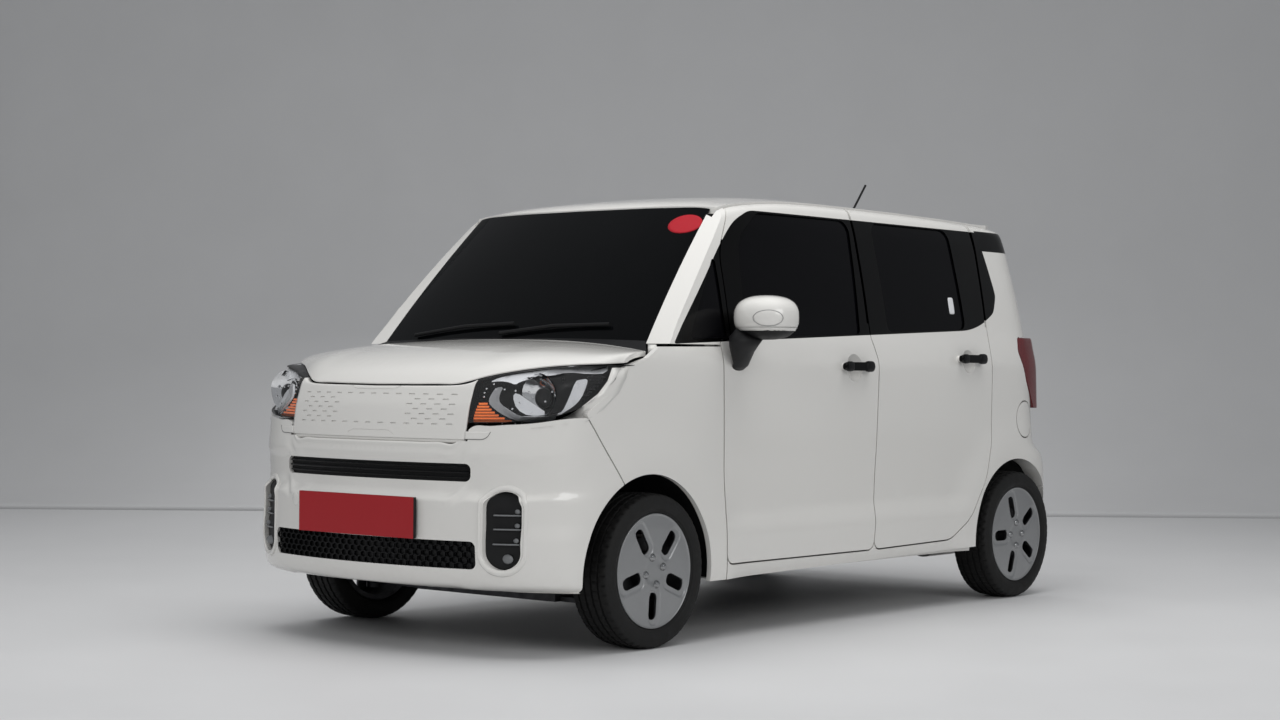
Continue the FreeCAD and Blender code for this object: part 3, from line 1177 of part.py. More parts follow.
def make_liner(rear):
    """The round lining over a wheel, on the right."""
    if rear:
        y_low, y_high, grow = REAR_WELL_HALF, REAR_LINER_OUT, 0.0
        z_cut = REAR_ARCH_Z + SHEET
        x_mid = WHEELBASE + REAR_ARCH_SHIFT
        radius = REAR_ARCH_R
    else:
        y_low, y_high, grow = FRONT_WELL_HALF + SEAT, HALF_WIDTH - SKIN * 1.9, LINER_GROW
        z_cut = FRONT_ARCH_Z - SHEET * 4
        x_mid = FRONT_ARCH_SHIFT
        radius = FRONT_ARCH_R
    ring = arch_cutter(rear, y_low, y_high, grow + LINER).cut(arch_cutter(rear, 0, WIDTH, grow))
    ring = ring.common(box(x_mid - radius * 2, x_mid + radius * 2, 0, WIDTH, z_cut, HEIGHT))
    if rear:
        ring = ring.cut(box(LINER_REAR_X, LENGTH, 0, WIDTH, 0, LINER_REAR_Z))
        wall_part = arch_cutter(True, y_low - LINER, y_low, LINER)
        floor_cut = box(0, LENGTH, 0, WIDTH, REAR_FLOOR_Z - FLOOR_T, HEIGHT)
        return joined([ring, wall_part.common(floor_cut)])
    ring = ring.cut(box(-LENGTH, LINER_FRONT_X, LINER_FRONT_OUT, WIDTH, 0, HEIGHT))
    hole = box(-TOWER_HALF - SHEET, TOWER_HALF + SHEET, 0, TOWER_OUT_Y + SHEET, FRONT_ARCH_Z, HEIGHT)
    return ring.cut(hole).cut(box(TOE_X - SHEET, LENGTH, 0, WIDTH, SHELF_Z - SEAT, HEIGHT))


ENGINE_X_LOW = -330.0
ENGINE_X_HIGH = 40.0
ENGINE_HALF = 330.0
ENGINE_LOW = 215.0
ENGINE_HIGH = 800.0


def make_engine():
    """The engine and gearbox as one block between the inner wings."""
    points = [(ENGINE_X_LOW, ENGINE_LOW), (ENGINE_X_HIGH, ENGINE_LOW), (ENGINE_X_HIGH, ENGINE_HIGH),
              (ENGINE_X_LOW, ENGINE_HIGH)]
    block = side_prism(points, [60.0] * 4, -ENGINE_HALF, ENGINE_HALF)
    shaft = cylinder_y(0, TYRE_R, STRUT_R * 0.6, -UPRIGHT_Y_LOW + OVERRUN, UPRIGHT_Y_LOW - OVERRUN)
    return joined([block, shaft])


TANK_X_LOW = 1500.0
TANK_X_HIGH = 2050.0
TANK_HALF = 430.0
TANK_LOW = 150.0


def make_tank():
    """The fuel tank under the rear seat's floor."""
    points = [(TANK_X_LOW, TANK_LOW), (TANK_X_HIGH, TANK_LOW), (TANK_X_HIGH, FLOOR_Z - SEAT),
              (TANK_X_LOW, FLOOR_Z - SEAT)]
    return side_prism(points, [30.0, 30.0, 0.0, 0.0], -TANK_HALF / 3, TANK_HALF)


PIPE_R = 24.0
PIPE_Y = -260.0
PIPE_Z = 185.0
SILENCER_R = 85.0
SILENCER_X = 2570.0
SILENCER_LENGTH = 230.0
TAIL_PIPE_END = 2780.0


def make_exhaust():
    """The exhaust pipe and silencer."""
    along = Vector(1, 0, 0)
    start = TOE_X + OVERRUN
    pipe = Part.makeCylinder(PIPE_R, SILENCER_X - start, spot(start, PIPE_Y, PIPE_Z), along)
    middle = PIPE_Z + SILENCER_R / 2
    drum = Part.makeCylinder(SILENCER_R, SILENCER_LENGTH, spot(SILENCER_X, PIPE_Y, middle), along)
    tail = Part.makeCylinder(PIPE_R, TAIL_PIPE_END - SILENCER_X - OVERRUN,
                             spot(SILENCER_X + OVERRUN, PIPE_Y, middle), along)
    return joined([pipe, drum, tail])


# Cabin
SEAT_Y = 345.0
SEAT_HALF = 245.0
FRONT_SEAT_X = 800.0
REAR_SEAT_X = 1700.0
REAR_SEAT_HALF = 560.0
SEAT_BASE_Z = 500.0
CUSHION_TOP = 640.0
CUSHION_LONG = 460.0
BACK_TOP = 1210.0
BACK_T = 110.0
BACK_LEAN = 150.0
HEAD_HIGH = 170.0
HEAD_T = 95.0
HEAD_HALF = 120.0


def make_seat(x, y_low, y_high, heads):
    """A seat on its base: cushion, back and head rests as one closed form."""
    rear = x + CUSHION_LONG
    points = [(x, SEAT_BASE_Z), (rear + BACK_T / 2, SEAT_BASE_Z), (rear + BACK_T + BACK_LEAN, BACK_TOP),
              (rear + BACK_LEAN, BACK_TOP), (rear, CUSHION_TOP), (x, CUSHION_TOP)]
    body = side_prism(points, [40.0, 60.0, 40.0, 40.0, 50.0, 60.0], y_low, y_high)
    base = box(x + OVERRUN, rear - OVERRUN, y_low + OVERRUN, y_high - OVERRUN, FLOOR_Z + FLOOR_T + SEAT,
               SEAT_BASE_Z + SHEET)
    pieces = [body, base]
    low = BACK_TOP - SHEET
    for y in heads:
        corners = [(rear + BACK_LEAN + SHEET, low), (rear + BACK_LEAN + HEAD_T, low),
                   (rear + BACK_LEAN + HEAD_T + SHEET * 2, low + HEAD_HIGH),
                   (rear + BACK_LEAN + SHEET * 3, low + HEAD_HIGH)]
        pieces.append(side_prism(corners, [10.0, 10.0, 35.0, 35.0], y - HEAD_HALF, y + HEAD_HALF))
    return joined(pieces)


DASH_HALF = 655.0
DASH_shares = [(0.0330, 0.5950), (0.0330, 0.6250), (0.1400, 0.6210), (0.1700, 0.5950), (0.1750, 0.5350),
               (0.1500, 0.4700), (0.0900, 0.4500), (0.0720, 0.4700)]
DASH_ROUNDS = [20.0, 30.0, 40.0, 40.0, 40.0, 40.0, 20.0, 20.0]
WHEEL_Y = -345.0
COLUMN_X = 400.0
COLUMN_Z = 930.0
COLUMN_TILT = 27.0
COLUMN_R = 22.0
COLUMN_LONG = 150.0
STEERING_R = 185.0
STEERING_TUBE = 14.0
STEERING_HUB_R = 55.0
STEERING_HUB_T = 46.0
STEERING_PIN_R = 12.0


def column_line():
    """The steering column's foot and its direction towards the driver."""
    tilt = math.radians(COLUMN_TILT)
    return spot(COLUMN_X, WHEEL_Y, COLUMN_Z), Vector(math.cos(tilt), 0, math.sin(tilt))


def make_dashboard():
    """The dashboard with the steering column."""
    panel = side_prism(side_points(DASH_shares), DASH_ROUNDS, -DASH_HALF, DASH_HALF)
    foot, unit = column_line()
    column = Part.makeCylinder(COLUMN_R, COLUMN_LONG, foot, unit)
    pin = Part.makeCylinder(STEERING_PIN_R, COLUMN_LONG + STEERING_HUB_T * 0.6, foot, unit)
    return joined([panel, column, pin])


def make_steering_wheel():
    """The steering wheel on its column."""
    foot, unit = column_line()
    hub_foot = foot + unit * (COLUMN_LONG + PIN_GAP)
    centre = hub_foot + unit * (STEERING_HUB_T / 2)
    ring = Part.makeTorus(STEERING_R, STEERING_TUBE, centre, unit)
    hub = Part.makeCylinder(STEERING_HUB_R, STEERING_HUB_T, hub_foot, unit)
    bore = Part.makeCylinder(STEERING_PIN_R + PIN_GAP, STEERING_HUB_T * 0.6 + PIN_GAP, hub_foot, unit)
    across = Vector(0, 1, 0)
    up = unit.cross(across)
    pieces = [ring, hub]
    for way in (across, across * -1, up * -1 if up.z > 0 else up):
        pieces.append(Part.makeCylinder(STEERING_TUBE * 0.9, STEERING_R, centre, way))
    return joined(pieces).cut(bore)


# Door mirrors, handles, wipers and aerial
MIRROR_X = 498.0
MIRROR_Y = 902.0
MIRROR_Z = 1193.0
MIRROR_HALF_X = 78.0
MIRROR_HALF_Y = 112.0
MIRROR_HALF_Z = 80.0
MIRROR_GLASS_SHIFT = 34.0
MIRROR_FOOT_Z = 1062.0
MIRROR_FOOT_R = 26.0
HANDLE_FRONT_X = 1238.0
HANDLE_FRONT_Z = 1014.0
HANDLE_REAR_X = 2102.0
HANDLE_REAR_Z = 1050.0
HANDLE_HALF = 95.0
HANDLE_HALF_Z = 17.0
HANDLE_T = 20.0
HANDLE_STAND = 34.0
HANDLE_FOOT_R = 14.0
CUP_HALF_X = 56.0
CUP_HALF_Z = 63.0
CUP_DEPTH = 15.0
CUP_SHIFT_Z = 0.0


def ellipsoid(x, y, z, half_x, half_y, half_z):
    """A stretched ball."""
    matrix = FreeCAD.Matrix()
    matrix.scale(half_x, half_y, half_z)
    ball = Part.makeSphere(1.0).transformGeometry(matrix)
    ball.translate(spot(x, y, z))
    return ball


def make_mirror():
    """The right door mirror: its ovoid housing on a foot."""
    shell = ellipsoid(MIRROR_X, MIRROR_Y, MIRROR_Z, MIRROR_HALF_X, MIRROR_HALF_Y, MIRROR_HALF_Z)
    behind = box(MIRROR_X + MIRROR_GLASS_SHIFT, MIRROR_X + MIRROR_HALF_X * 2, 0, WIDTH, 0, HEIGHT)
    shell = shell.cut(behind)
    start = spot(MIRROR_X - MIRROR_FOOT_R, HALF_WIDTH - SKIN * 1.2, MIRROR_FOOT_Z)
    end = spot(MIRROR_X - MIRROR_FOOT_R, MIRROR_Y - MIRROR_HALF_Y / 2, MIRROR_Z - MIRROR_HALF_Z / 2)
    arm = Part.makeCylinder(MIRROR_FOOT_R, (end - start).Length, start, end - start)
    return joined([shell, arm])


def mirror_seat(door, mirror):
    """The mirror without what its door already fills."""
    return mirror.cut(door)


def handle_shapes(x, z):
    """A pull handle and the hollow of its cup, on the right."""
    y = HALF_WIDTH - SKIN / 3
    points = [(x - HANDLE_HALF, z - HANDLE_HALF_Z), (x + HANDLE_HALF, z - HANDLE_HALF_Z),
              (x + HANDLE_HALF, z + HANDLE_HALF_Z), (x - HANDLE_HALF, z + HANDLE_HALF_Z)]
    bar = side_prism(points, [HANDLE_HALF_Z * 0.97] * 4, y + HANDLE_STAND - HANDLE_T, y + HANDLE_STAND)
    feet = [cylinder_y(x + way * (HANDLE_HALF - HANDLE_FOOT_R * 1.3), z, HANDLE_FOOT_R, y - SKIN,
                       y + HANDLE_STAND - HANDLE_T / 2) for way in (-1, 1)]
    cup = ellipsoid(x, y + CUP_DEPTH * 0.4, z + CUP_SHIFT_Z, CUP_HALF_X, CUP_DEPTH * 1.4, CUP_HALF_Z)
    return joined([bar] + feet), cup


def with_handle(door, x, z):
    """A door with its handle cup hollowed and its handle added."""
    handle, cup = handle_shapes(x, z)
    return joined([door.cut(cup), handle])


WIPER_R = 7.0
AERIAL_X = 2330.0
AERIAL_Y = 0.0
AERIAL_LONG = 215.0
AERIAL_R = 5.0
AERIAL_LEAN = 40.0


def make_wipers():
    """Both wiper arms, resting low on the windscreen."""
    arms = []
    for w_from, w_to in ((0.72, -0.05), (0.02, -0.72)):
        start = screen_point(0.02, w_from, -WIPER_R * 1.7)
        middle = screen_point(0.07, (w_from + w_to) / 2, -WIPER_R * 2)
        end = screen_point(0.09, w_to, -WIPER_R - GLASS)
        first = Part.makeCylinder(WIPER_R, (middle - start).Length, start, middle - start)
        second = Part.makeCylinder(WIPER_R, (end - middle).Length, middle, end - middle)
        arms.append(joined([first, second, Part.makeSphere(WIPER_R, middle)]))
    return Part.makeCompound(arms)


def make_aerial():
    """The rod aerial on the roof."""
    foot = spot(AERIAL_X, AERIAL_Y, roof_height(AERIAL_X, AERIAL_Y) + SEAT * 4)
    lean = math.radians(AERIAL_LEAN)
    unit = Vector(math.sin(lean), 0, math.cos(lean))
    base = Part.makeCone(AERIAL_R * 4, AERIAL_R * 2, AERIAL_R * 3, foot)
    rod = Part.makeCylinder(AERIAL_R, AERIAL_LONG, foot + Vector(0, 0, AERIAL_R), unit)
    return joined([base, rod])


# Everything, written out one file for each piece
def place_wheel(shape, side, rear):
    """A wheel piece turned to its side and moved to its axle."""
    placed = shape if side > 0 else mirrored(shape)
    return placed.translated(spot(WHEELBASE if rear else 0.0, side * TRACK / 2, TYRE_R))


def make_all():
    """All pieces by name."""
    nodes = {}
    frame_right = make_side_frame(False)
    nodes["side_frame_right"] = frame_right
    nodes["side_frame_left"] = mirrored(make_side_frame(True))
    nodes["roof_panel"] = make_roof()
    fender = make_fender()
    nodes["front_fenders"] = Part.makeCompound([fender, mirrored(fender)])
    nodes["front_bumper"] = make_front_bumper()
    nodes["front_grilles"] = make_front_grilles()
    nodes["grille_panel"] = make_grille_panel()
    nodes["number_plate"] = make_plate()
    lamp = make_headlamp()
    nodes["headlamps"] = Part.makeCompound([lamp, mirrored(lamp)])
    tail = make_tail_lamp()
    nodes["tail_lamps"] = Part.makeCompound([tail, mirrored(tail)])
    nodes["rear_bumper"] = make_rear_bumper()
    nodes["windscreen"] = screen_slab(0.0, 1.0, -SCREEN_EDGE_share, SCREEN_EDGE_share, 0.0, GLASS)
    corner = make_corner_glass()
    nodes["corner_glass"] = Part.makeCompound([corner, mirrored(corner)])
    nodes["cowl_panel"] = make_cowl()
    nodes["wipers"] = make_wipers()
    nodes["aerial"] = make_aerial()
    nodes["bonnet"] = make_bonnet()
    nodes["tailgate"], nodes["tailgate_glass"] = make_tailgate()
    nodes["fuel_flap"] = mirrored(make_flap())
    front_door, front_glass = make_door(side_points(FRONT_DOOR_shares), FRONT_DOOR_ROUNDS,
                                        side_points(FRONT_WINDOW_shares), FRONT_WINDOW_ROUNDS,
                                        side_points(FRONT_SWING_shares))
    rear_door, rear_glass = make_door(side_points(REAR_DOOR_shares), REAR_DOOR_ROUNDS,
                                      side_points(REAR_WINDOW_shares), REAR_WINDOW_ROUNDS,
                                      side_points(REAR_SWING_shares))
    front_door = with_handle(front_door, HANDLE_FRONT_X, HANDLE_FRONT_Z)
    rear_door = with_handle(rear_door, HANDLE_REAR_X, HANDLE_REAR_Z)
    mirror = mirror_seat(front_door, make_mirror())
    nodes["door_front_right"], nodes["door_front_left"] = front_door, mirrored(front_door)
    nodes["door_front_right_glass"], nodes["door_front_left_glass"] = front_glass, mirrored(front_glass)
    nodes["mirror_right"], nodes["mirror_left"] = mirror, mirrored(mirror)
    nodes["sliding_door_right"], nodes["door_rear_left"] = rear_door, mirrored(rear_door)
    nodes["sliding_door_right_glass"], nodes["door_rear_left_glass"] = rear_glass, mirrored(rear_glass)
    knuckle = make_knuckle()
    nodes["knuckle_right"], nodes["knuckle_left"] = knuckle, mirrored(knuckle)
    tyre = make_tyre()
    for rear, end, turn in ((False, "front", FRONT_WHEEL_TURN), (True, "rear", REAR_WHEEL_TURN)):
        rim = make_rim(turn)
        for side, hand in ((-1, "left"), (1, "right")):
            nodes["tyre_%s_%s" % (end, hand)] = place_wheel(tyre, side, rear)
            nodes["wheel_%s_%s" % (end, hand)] = place_wheel(rim, side, rear)
    nodes["front_suspension"] = make_front_suspension()
    nodes["rear_axle"] = make_rear_axle()
    nodes["floor_pan"] = make_floor()
    nodes["front_structure"] = make_front_structure()
    liners = [make_liner(False), make_liner(True)]
    nodes["wheel_liners"] = Part.makeCompound(liners + [mirrored(liner) for liner in liners])
    nodes["engine"] = make_engine()
    nodes["fuel_tank"] = make_tank()
    nodes["exhaust"] = make_exhaust()
    seats = [make_seat(FRONT_SEAT_X, side * SEAT_Y - SEAT_HALF, side * SEAT_Y + SEAT_HALF, [side * SEAT_Y])
             for side in (-1, 1)]
    nodes["front_seats"] = Part.makeCompound(seats)
    nodes["rear_seat"] = make_seat(REAR_SEAT_X, -REAR_SEAT_HALF, REAR_SEAT_HALF, [-SEAT_Y, SEAT_Y])
    nodes["dashboard"] = make_dashboard()
    nodes["steering_wheel"] = make_steering_wheel()
    return nodes


def main():
    """Build every piece and write its file."""
    os.makedirs("parts", exist_ok=True)
    for name, shape in make_all().items():
        shape.exportStep("parts/%s.step" % name)


if __name__ == "__main__":
    main()
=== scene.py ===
"""The small five-door box car with its full look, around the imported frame. Metres."""
import bpy
import bmesh
import math
from mathutils import Matrix, Vector
from mathutils.bvhtree import BVHTree


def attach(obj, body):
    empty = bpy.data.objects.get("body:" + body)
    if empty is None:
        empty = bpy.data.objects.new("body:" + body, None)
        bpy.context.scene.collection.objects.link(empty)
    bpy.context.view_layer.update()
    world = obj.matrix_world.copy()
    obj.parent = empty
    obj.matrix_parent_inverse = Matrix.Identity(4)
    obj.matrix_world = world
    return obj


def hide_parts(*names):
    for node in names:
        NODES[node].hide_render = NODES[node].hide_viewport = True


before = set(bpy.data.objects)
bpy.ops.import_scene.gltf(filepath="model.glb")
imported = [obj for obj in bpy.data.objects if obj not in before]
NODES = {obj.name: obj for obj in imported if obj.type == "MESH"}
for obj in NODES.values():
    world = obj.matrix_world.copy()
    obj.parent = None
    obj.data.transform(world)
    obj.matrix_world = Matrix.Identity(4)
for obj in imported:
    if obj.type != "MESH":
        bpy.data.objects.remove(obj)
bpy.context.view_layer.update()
AXLE_X = -1.0825
WHEELBASE = 2.52
TRACK = 1.408
HUB_Z = 0.278
MM = 0.001
SIDES = ((-1, "left"), (1, "right"))


def vec(x, y, z):
    """A vector from three numbers."""
    return Vector((x, y, z))


def at(x, y, z):
    """A point given in millimetres, with x counted from the front axle."""
    return vec(AXLE_X + x * MM, y * MM, z * MM)


def circle(count):
    """The cosine and sine of equal steps round a full turn."""
    return [(math.cos(2 * math.pi * i / count), math.sin(2 * math.pi * i / count)) for i in range(count)]


def steps(low, high, count):
    """Evenly spaced values from low to high."""
    return [low + (high - low) * k / count for k in range(count + 1)]


def signed_power(value, power):
    """A power of a number's size, with the number's sign."""
    return math.copysign(abs(value) ** power, value)


# Materials
SHADER_INPUTS = {"base": "Base Color", "rough": "Roughness", "metallic": "Metallic", "coat": "Coat Weight",
                 "coat_rough": "Coat Roughness", "specular": "Specular IOR Level", "alpha": "Alpha",
                 "ior": "IOR", "sheen": "Sheen Weight", "normal": "Normal"}


class Look:
    """A node material with one shader, whose textures lie in the row frame."""

    def __init__(self, name):
        self.mat = bpy.data.materials.new(name)
        self.mat.use_nodes = True
        self.tree = self.mat.node_tree
        self.tree.nodes.clear()
        out = self.tree.nodes.new("ShaderNodeOutputMaterial")
        self.shader = self.tree.nodes.new("ShaderNodeBsdfPrincipled")
        self.fill(out.inputs[0], self.shader.outputs[0])
        self.vector = self.tree.nodes.new("ShaderNodeTexCoord").outputs["Object"]
        self.axes = self.node("SeparateXYZ", {0: self.vector}).outputs

    def fill(self, socket, value):
        """Puts a number, a colour or another node's output into a socket."""
        if isinstance(value, bpy.types.NodeSocket):
            self.tree.links.new(value, socket)
        else:
            socket.default_value = value + (1.0,) if isinstance(value, tuple) else value

    def node(self, kind, values, **settings):
        """A node with its settings and inputs."""
        node = self.tree.nodes.new("ShaderNode" + kind)
        for key, value in settings.items():
            setattr(node, key, value)
        for key, value in values.items():
            self.fill(node.inputs[key], value)
        return node

    def math(self, kind, *values, clamp=False):
        """A math node's output."""
        return self.node("Math", dict(enumerate(values)), operation=kind, use_clamp=clamp).outputs[0]

    def noise(self, scale, detail=4.0, rough=0.55):
        """A noise texture's value."""
        values = {"Scale": scale, "Detail": detail, "Roughness": rough, "Vector": self.vector}
        return self.node("TexNoise", values).outputs["Fac"]

    def ramp(self, value, low, high, low_out=0.0, high_out=1.0):
        """A value mapped from one range to another."""
        return self.node("MapRange", dict(enumerate((value, low, high, low_out, high_out)))).outputs[0]

    def mix(self, factor, a, b):
        """A colour between two."""
        return self.node("Mix", {0: factor, 6: a, 7: b}, data_type="RGBA").outputs[2]

    def bump(self, height, strength, distance):
        """Gives the shader a bump."""
        values = {"Strength": strength, "Distance": distance, "Height": height}
        self.feed(normal=self.node("Bump", values).outputs[0])

    def feed(self, **values):
        """Fills the shader's inputs."""
        for key, value in values.items():
            self.fill(self.shader.inputs[SHADER_INPUTS[key]], value)


def polygon_mask(look, points, rounding=0.02, soft=0.0006):
    """1 inside a convex outline (x, z) in millimetres, drawn clockwise from its left end."""
    field = None
    for (ax, az), (bx, bz) in zip(points, points[1:] + points[:1]):
        span = math.hypot(bx - ax, bz - az)
        nx, nz = (bz - az) / span, (ax - bx) / span
        offset = nx * (AXLE_X + ax * MM) + nz * az * MM
        along = look.math("MULTIPLY_ADD", look.axes[0], nx, -offset)
        distance = look.math("MULTIPLY_ADD", look.axes[2], nz, along)
        field = distance if field is None else look.math("SMOOTH_MIN", field, distance, rounding)
    return look.math("MULTIPLY_ADD", field, 1.0 / soft, 0.5, clamp=True)


def box_mask(look, x, z, half_x, half_z):
    """1 inside an upright oblong seen from the side."""
    return look.math("MULTIPLY", look.math("COMPARE", look.axes[0], AXLE_X + x, half_x),
                     look.math("COMPARE", look.axes[2], z, half_z))


WINDOW_BAND = [(104, 1090), (520, 1513), (591, 1567), (697, 1611), (2340, 1608), (2380, 1476), (2410, 1329),
               (2369, 1252), (2262, 1200), (2147, 1172)]
BAND_END = (3.335, 1.5695, 1.0, 0.0445)
HANDLES = [(1238, 1014), (2102, 1050)]
HANDLE_REACH = (0.13, 0.024)
HANDLE_Y = 0.7955
WHITE = (0.72, 0.708, 0.678)
WHITE_LOW = (0.716, 0.704, 0.674)
DUST = (0.5, 0.46, 0.4)
BLACK = (0.002, 0.002, 0.0024)


def band_mask(look):
    """1 inside the black window band."""
    return polygon_mask(look, WINDOW_BAND)


def band_end_mask(look):
    """1 where the band runs on to the tailgate under the roof."""
    return box_mask(look, *BAND_END)


def handle_mask(look):
    """1 on the pull handles, which stand out of the doors."""
    total = look.math("MAXIMUM", *[box_mask(look, x * MM, z * MM, *HANDLE_REACH) for x, z in HANDLES])
    out = look.math("GREATER_THAN", look.math("ABSOLUTE", look.axes[1]), HANDLE_Y)
    return look.math("MULTIPLY", total, out)


def paint(name, masks=()):
    """White car paint with faint orange peel and dust, black where a mask says so."""
    look = Look(name)
    broad = look.noise(2.0, 1.0)
    tone = look.mix(look.ramp(broad, 0.2, 0.8), WHITE, WHITE_LOW)
    low = look.ramp(look.axes[2], 0.36, 0.2)
    dust = look.math("MULTIPLY", low, look.ramp(look.noise(30.0, 6.0), 0.45, 0.75))
    tone = look.mix(look.math("MULTIPLY", dust, 0.12), tone, DUST)
    rough = look.ramp(broad, 0.2, 0.8, 0.25, 0.27)
    coat = 1.0
    if masks:
        mask = masks[0](look)
        for more in masks[1:]:
            mask = look.math("MAXIMUM", mask, more(look))
        tone = look.mix(mask, tone, BLACK)
        rough = look.math("MULTIPLY_ADD", mask, 0.06, rough)
        coat = look.math("MULTIPLY_ADD", mask, -0.85, 1.0)
        look.feed(metallic=look.math("MULTIPLY", mask, 0.95))
    look.feed(base=tone, rough=rough, coat=coat, coat_rough=0.05)
    look.bump(look.noise(900.0, 2.0), 0.03, 0.0004)
    return look.mat


def mottled(name, colours, rough, noise, grain=None, edges=(0.35, 0.7), **values):
    """A surface with broad mottling and a fine grain: scale, detail, strength and depth."""
    look = Look(name)
    broad = look.noise(*noise)
    look.feed(base=look.mix(look.ramp(broad, *edges), *colours), rough=look.ramp(broad, 0.3, 0.7, *rough),
              **values)
    if grain:
        look.bump(look.noise(*grain[:2]), *grain[2:])
    return look.mat


def plastic(name, colour, rough, grain=0.25, grain_scale=1400.0, coat=0.0, spread=0.25):
    """Moulded plastic with a fine grain."""
    lighter = tuple(min(c * (1 + spread) + 0.004 * spread, 1.0) for c in colour)
    return mottled(name, (colour, lighter), (rough * 0.9, min(rough * 1.15, 1.0)), (22.0, 5.0),
                   (grain_scale, 2.0, grain, 0.0003), coat=coat, coat_rough=0.04,
                   specular=0.5 if max(colour) > 0.01 else 0.25)


def metal(name, colour, rough, grain=0.05):
    """Bare or plated metal with faint mottling."""
    darker = tuple(c * 0.86 for c in colour)
    return mottled(name, (colour, darker), (rough * 0.85, rough * 1.2), (30.0, 5.0),
                   (600.0, 3.0, grain, 0.0003), metallic=1.0)


def silver_paint(name):
    """Metallic wheel paint with a fine flake and a clear coat."""
    look = Look(name)
    flake = look.noise(2600.0, 1.0)
    look.feed(base=look.mix(look.ramp(flake, 0.4, 0.65), (0.27, 0.275, 0.28), (0.36, 0.365, 0.37)),
              rough=look.ramp(look.noise(12.0), 0.3, 0.7, 0.36, 0.46), metallic=0.75, coat=0.5,
              coat_rough=0.12)
    look.bump(flake, 0.05, 0.0002)
    return look.mat


def glass(name, colour, alpha):
    """Tinted glass: a dark glossy pane that lets a little light through."""
    look = Look(name)
    look.feed(base=look.mix(look.noise(2.0), colour, tuple(c * 1.4 + 0.001 for c in colour)), rough=0.03,
              alpha=alpha, ior=1.5, specular=0.09)
    return look.mat


def clear_lens(name, colour=(0.95, 0.96, 0.97)):
    """A clear moulded lens."""
    look = Look(name)
    look.feed(base=look.mix(look.noise(60.0), colour, tuple(c * 0.93 for c in colour)), rough=0.03,
              alpha=0.03, coat=0.5)
    return look.mat


def fabric(name, colour):
    """Woven seat cloth with a small check of threads."""
    look = Look(name)
    wave = [look.math("SINE", look.math("MULTIPLY", axis, 2600.0)) for axis in look.axes]
    weave = look.math("MULTIPLY", wave[0], look.math("ADD", wave[1], wave[2]))
    tone = look.mix(look.ramp(look.noise(55.0, 6.0), 0.35, 0.7), colour, tuple(c * 1.7 for c in colour))
    tone = look.mix(look.ramp(weave, -1.0, 1.0, 0.0, 0.35), tone, tuple(c * 0.5 for c in colour))
    look.feed(base=tone, rough=0.92, sheen=0.4)
    look.bump(weave, 0.35, 0.0005)
    return look.mat


MAT = {
    "body": paint("paint_white"),
    "frame": paint("paint_side", [band_mask, band_end_mask]),
    "door": paint("paint_door", [band_mask, handle_mask]),
    "white_plastic": paint("paint_plastic"),
    "black": plastic("plastic_black", (0.009, 0.009, 0.0095), 0.5),
    "gloss_black": plastic("plastic_gloss_black", (0.003, 0.003, 0.0034), 0.3, 0.02),
    "seal": plastic("rubber_seal", (0.055, 0.055, 0.056), 0.55, 0.15),
    "dark_glass": glass("glass_dark", (0.0012, 0.0012, 0.0018), 0.982),
    "screen_glass": glass("glass_screen", (0.0015, 0.0017, 0.002), 0.955),
    "chrome": metal("chrome_bright", (0.86, 0.87, 0.88), 0.07, 0.01),
    "silver": silver_paint("silver_wheel"),
    "lamp_silver": plastic("lamp_silver", (0.6, 0.61, 0.63), 0.28, 0.02, coat=0.6, spread=0.08),
    "rubber": mottled("tyre_rubber", ((0.007, 0.007, 0.007), (0.013, 0.0125, 0.012)), (0.55, 0.8),
                      (26.0, 6.0), (700.0, 3.0, 0.35, 0.0004), (0.4, 0.75), specular=0.3),
    "steel": metal("steel_dark", (0.1, 0.1, 0.105), 0.55, 0.2),
    "nut": metal("steel_nut", (0.34, 0.345, 0.35), 0.22, 0.02),
    "cast": metal("steel_cast", (0.2, 0.19, 0.18), 0.6, 0.35),
    "pipe": metal("steel_pipe", (0.26, 0.25, 0.24), 0.4, 0.12),
    "under": plastic("paint_under", (0.03, 0.03, 0.031), 0.7, 0.35),
    "cabin": plastic("plastic_cabin", (0.03, 0.03, 0.032), 0.6, 0.5, 900.0),
    "plate": plastic("plate_red", (0.34, 0.004, 0.009), 0.38, 0.01, spread=0.02),
    "bar": plastic("plastic_grey_bar", (0.16, 0.165, 0.17), 0.35, 0.02, spread=0.1),
    "red_lens": plastic("lens_red", (0.1, 0.0012, 0.004), 0.22, 0.02, coat=0.1),
    "amber": plastic("lens_amber", (0.9, 0.17, 0.03), 0.2, 0.05, coat=0.6),
    "lens": clear_lens("lens_clear"),
    "fabric": fabric("fabric_seat", (0.035, 0.035, 0.038)),
    "label": plastic("label_white", (0.7, 0.71, 0.72), 0.5, 0.02, spread=0.02),
    "sticker": plastic("sticker_red", (0.36, 0.005, 0.014), 0.45, 0.02, spread=0.05),
    "floor": mottled("floor_pale", ((0.6, 0.6, 0.602), (0.618, 0.618, 0.62)), (0.5, 0.56), (1.6, 3.0),
                     edges=(0.3, 0.7)),
}

NODE_LOOKS = {
    "body": "roof_panel front_fenders bonnet tailgate fuel_flap",
    "frame": "side_frame_right side_frame_left",
    "white_plastic": "front_bumper grille_panel rear_bumper mirror_right mirror_left",
    "black": "front_grilles cowl_panel wipers aerial wheel_liners fuel_tank",
    "cast": "knuckle_right knuckle_left engine",
    "steel": "front_suspension rear_axle",
    "under": "floor_pan front_structure",
    "fabric": "front_seats rear_seat",
    "cabin": "dashboard steering_wheel",
    "screen_glass": "windscreen",
    "lens": "headlamps",
    "red_lens": "tail_lamps",
    "plate": "number_plate",
    "pipe": "exhaust",
}
NODE_KINDS = (("_glass", "dark_glass"), ("tyre_", "rubber"), ("wheel_", "steel"), ("door_", "door"))


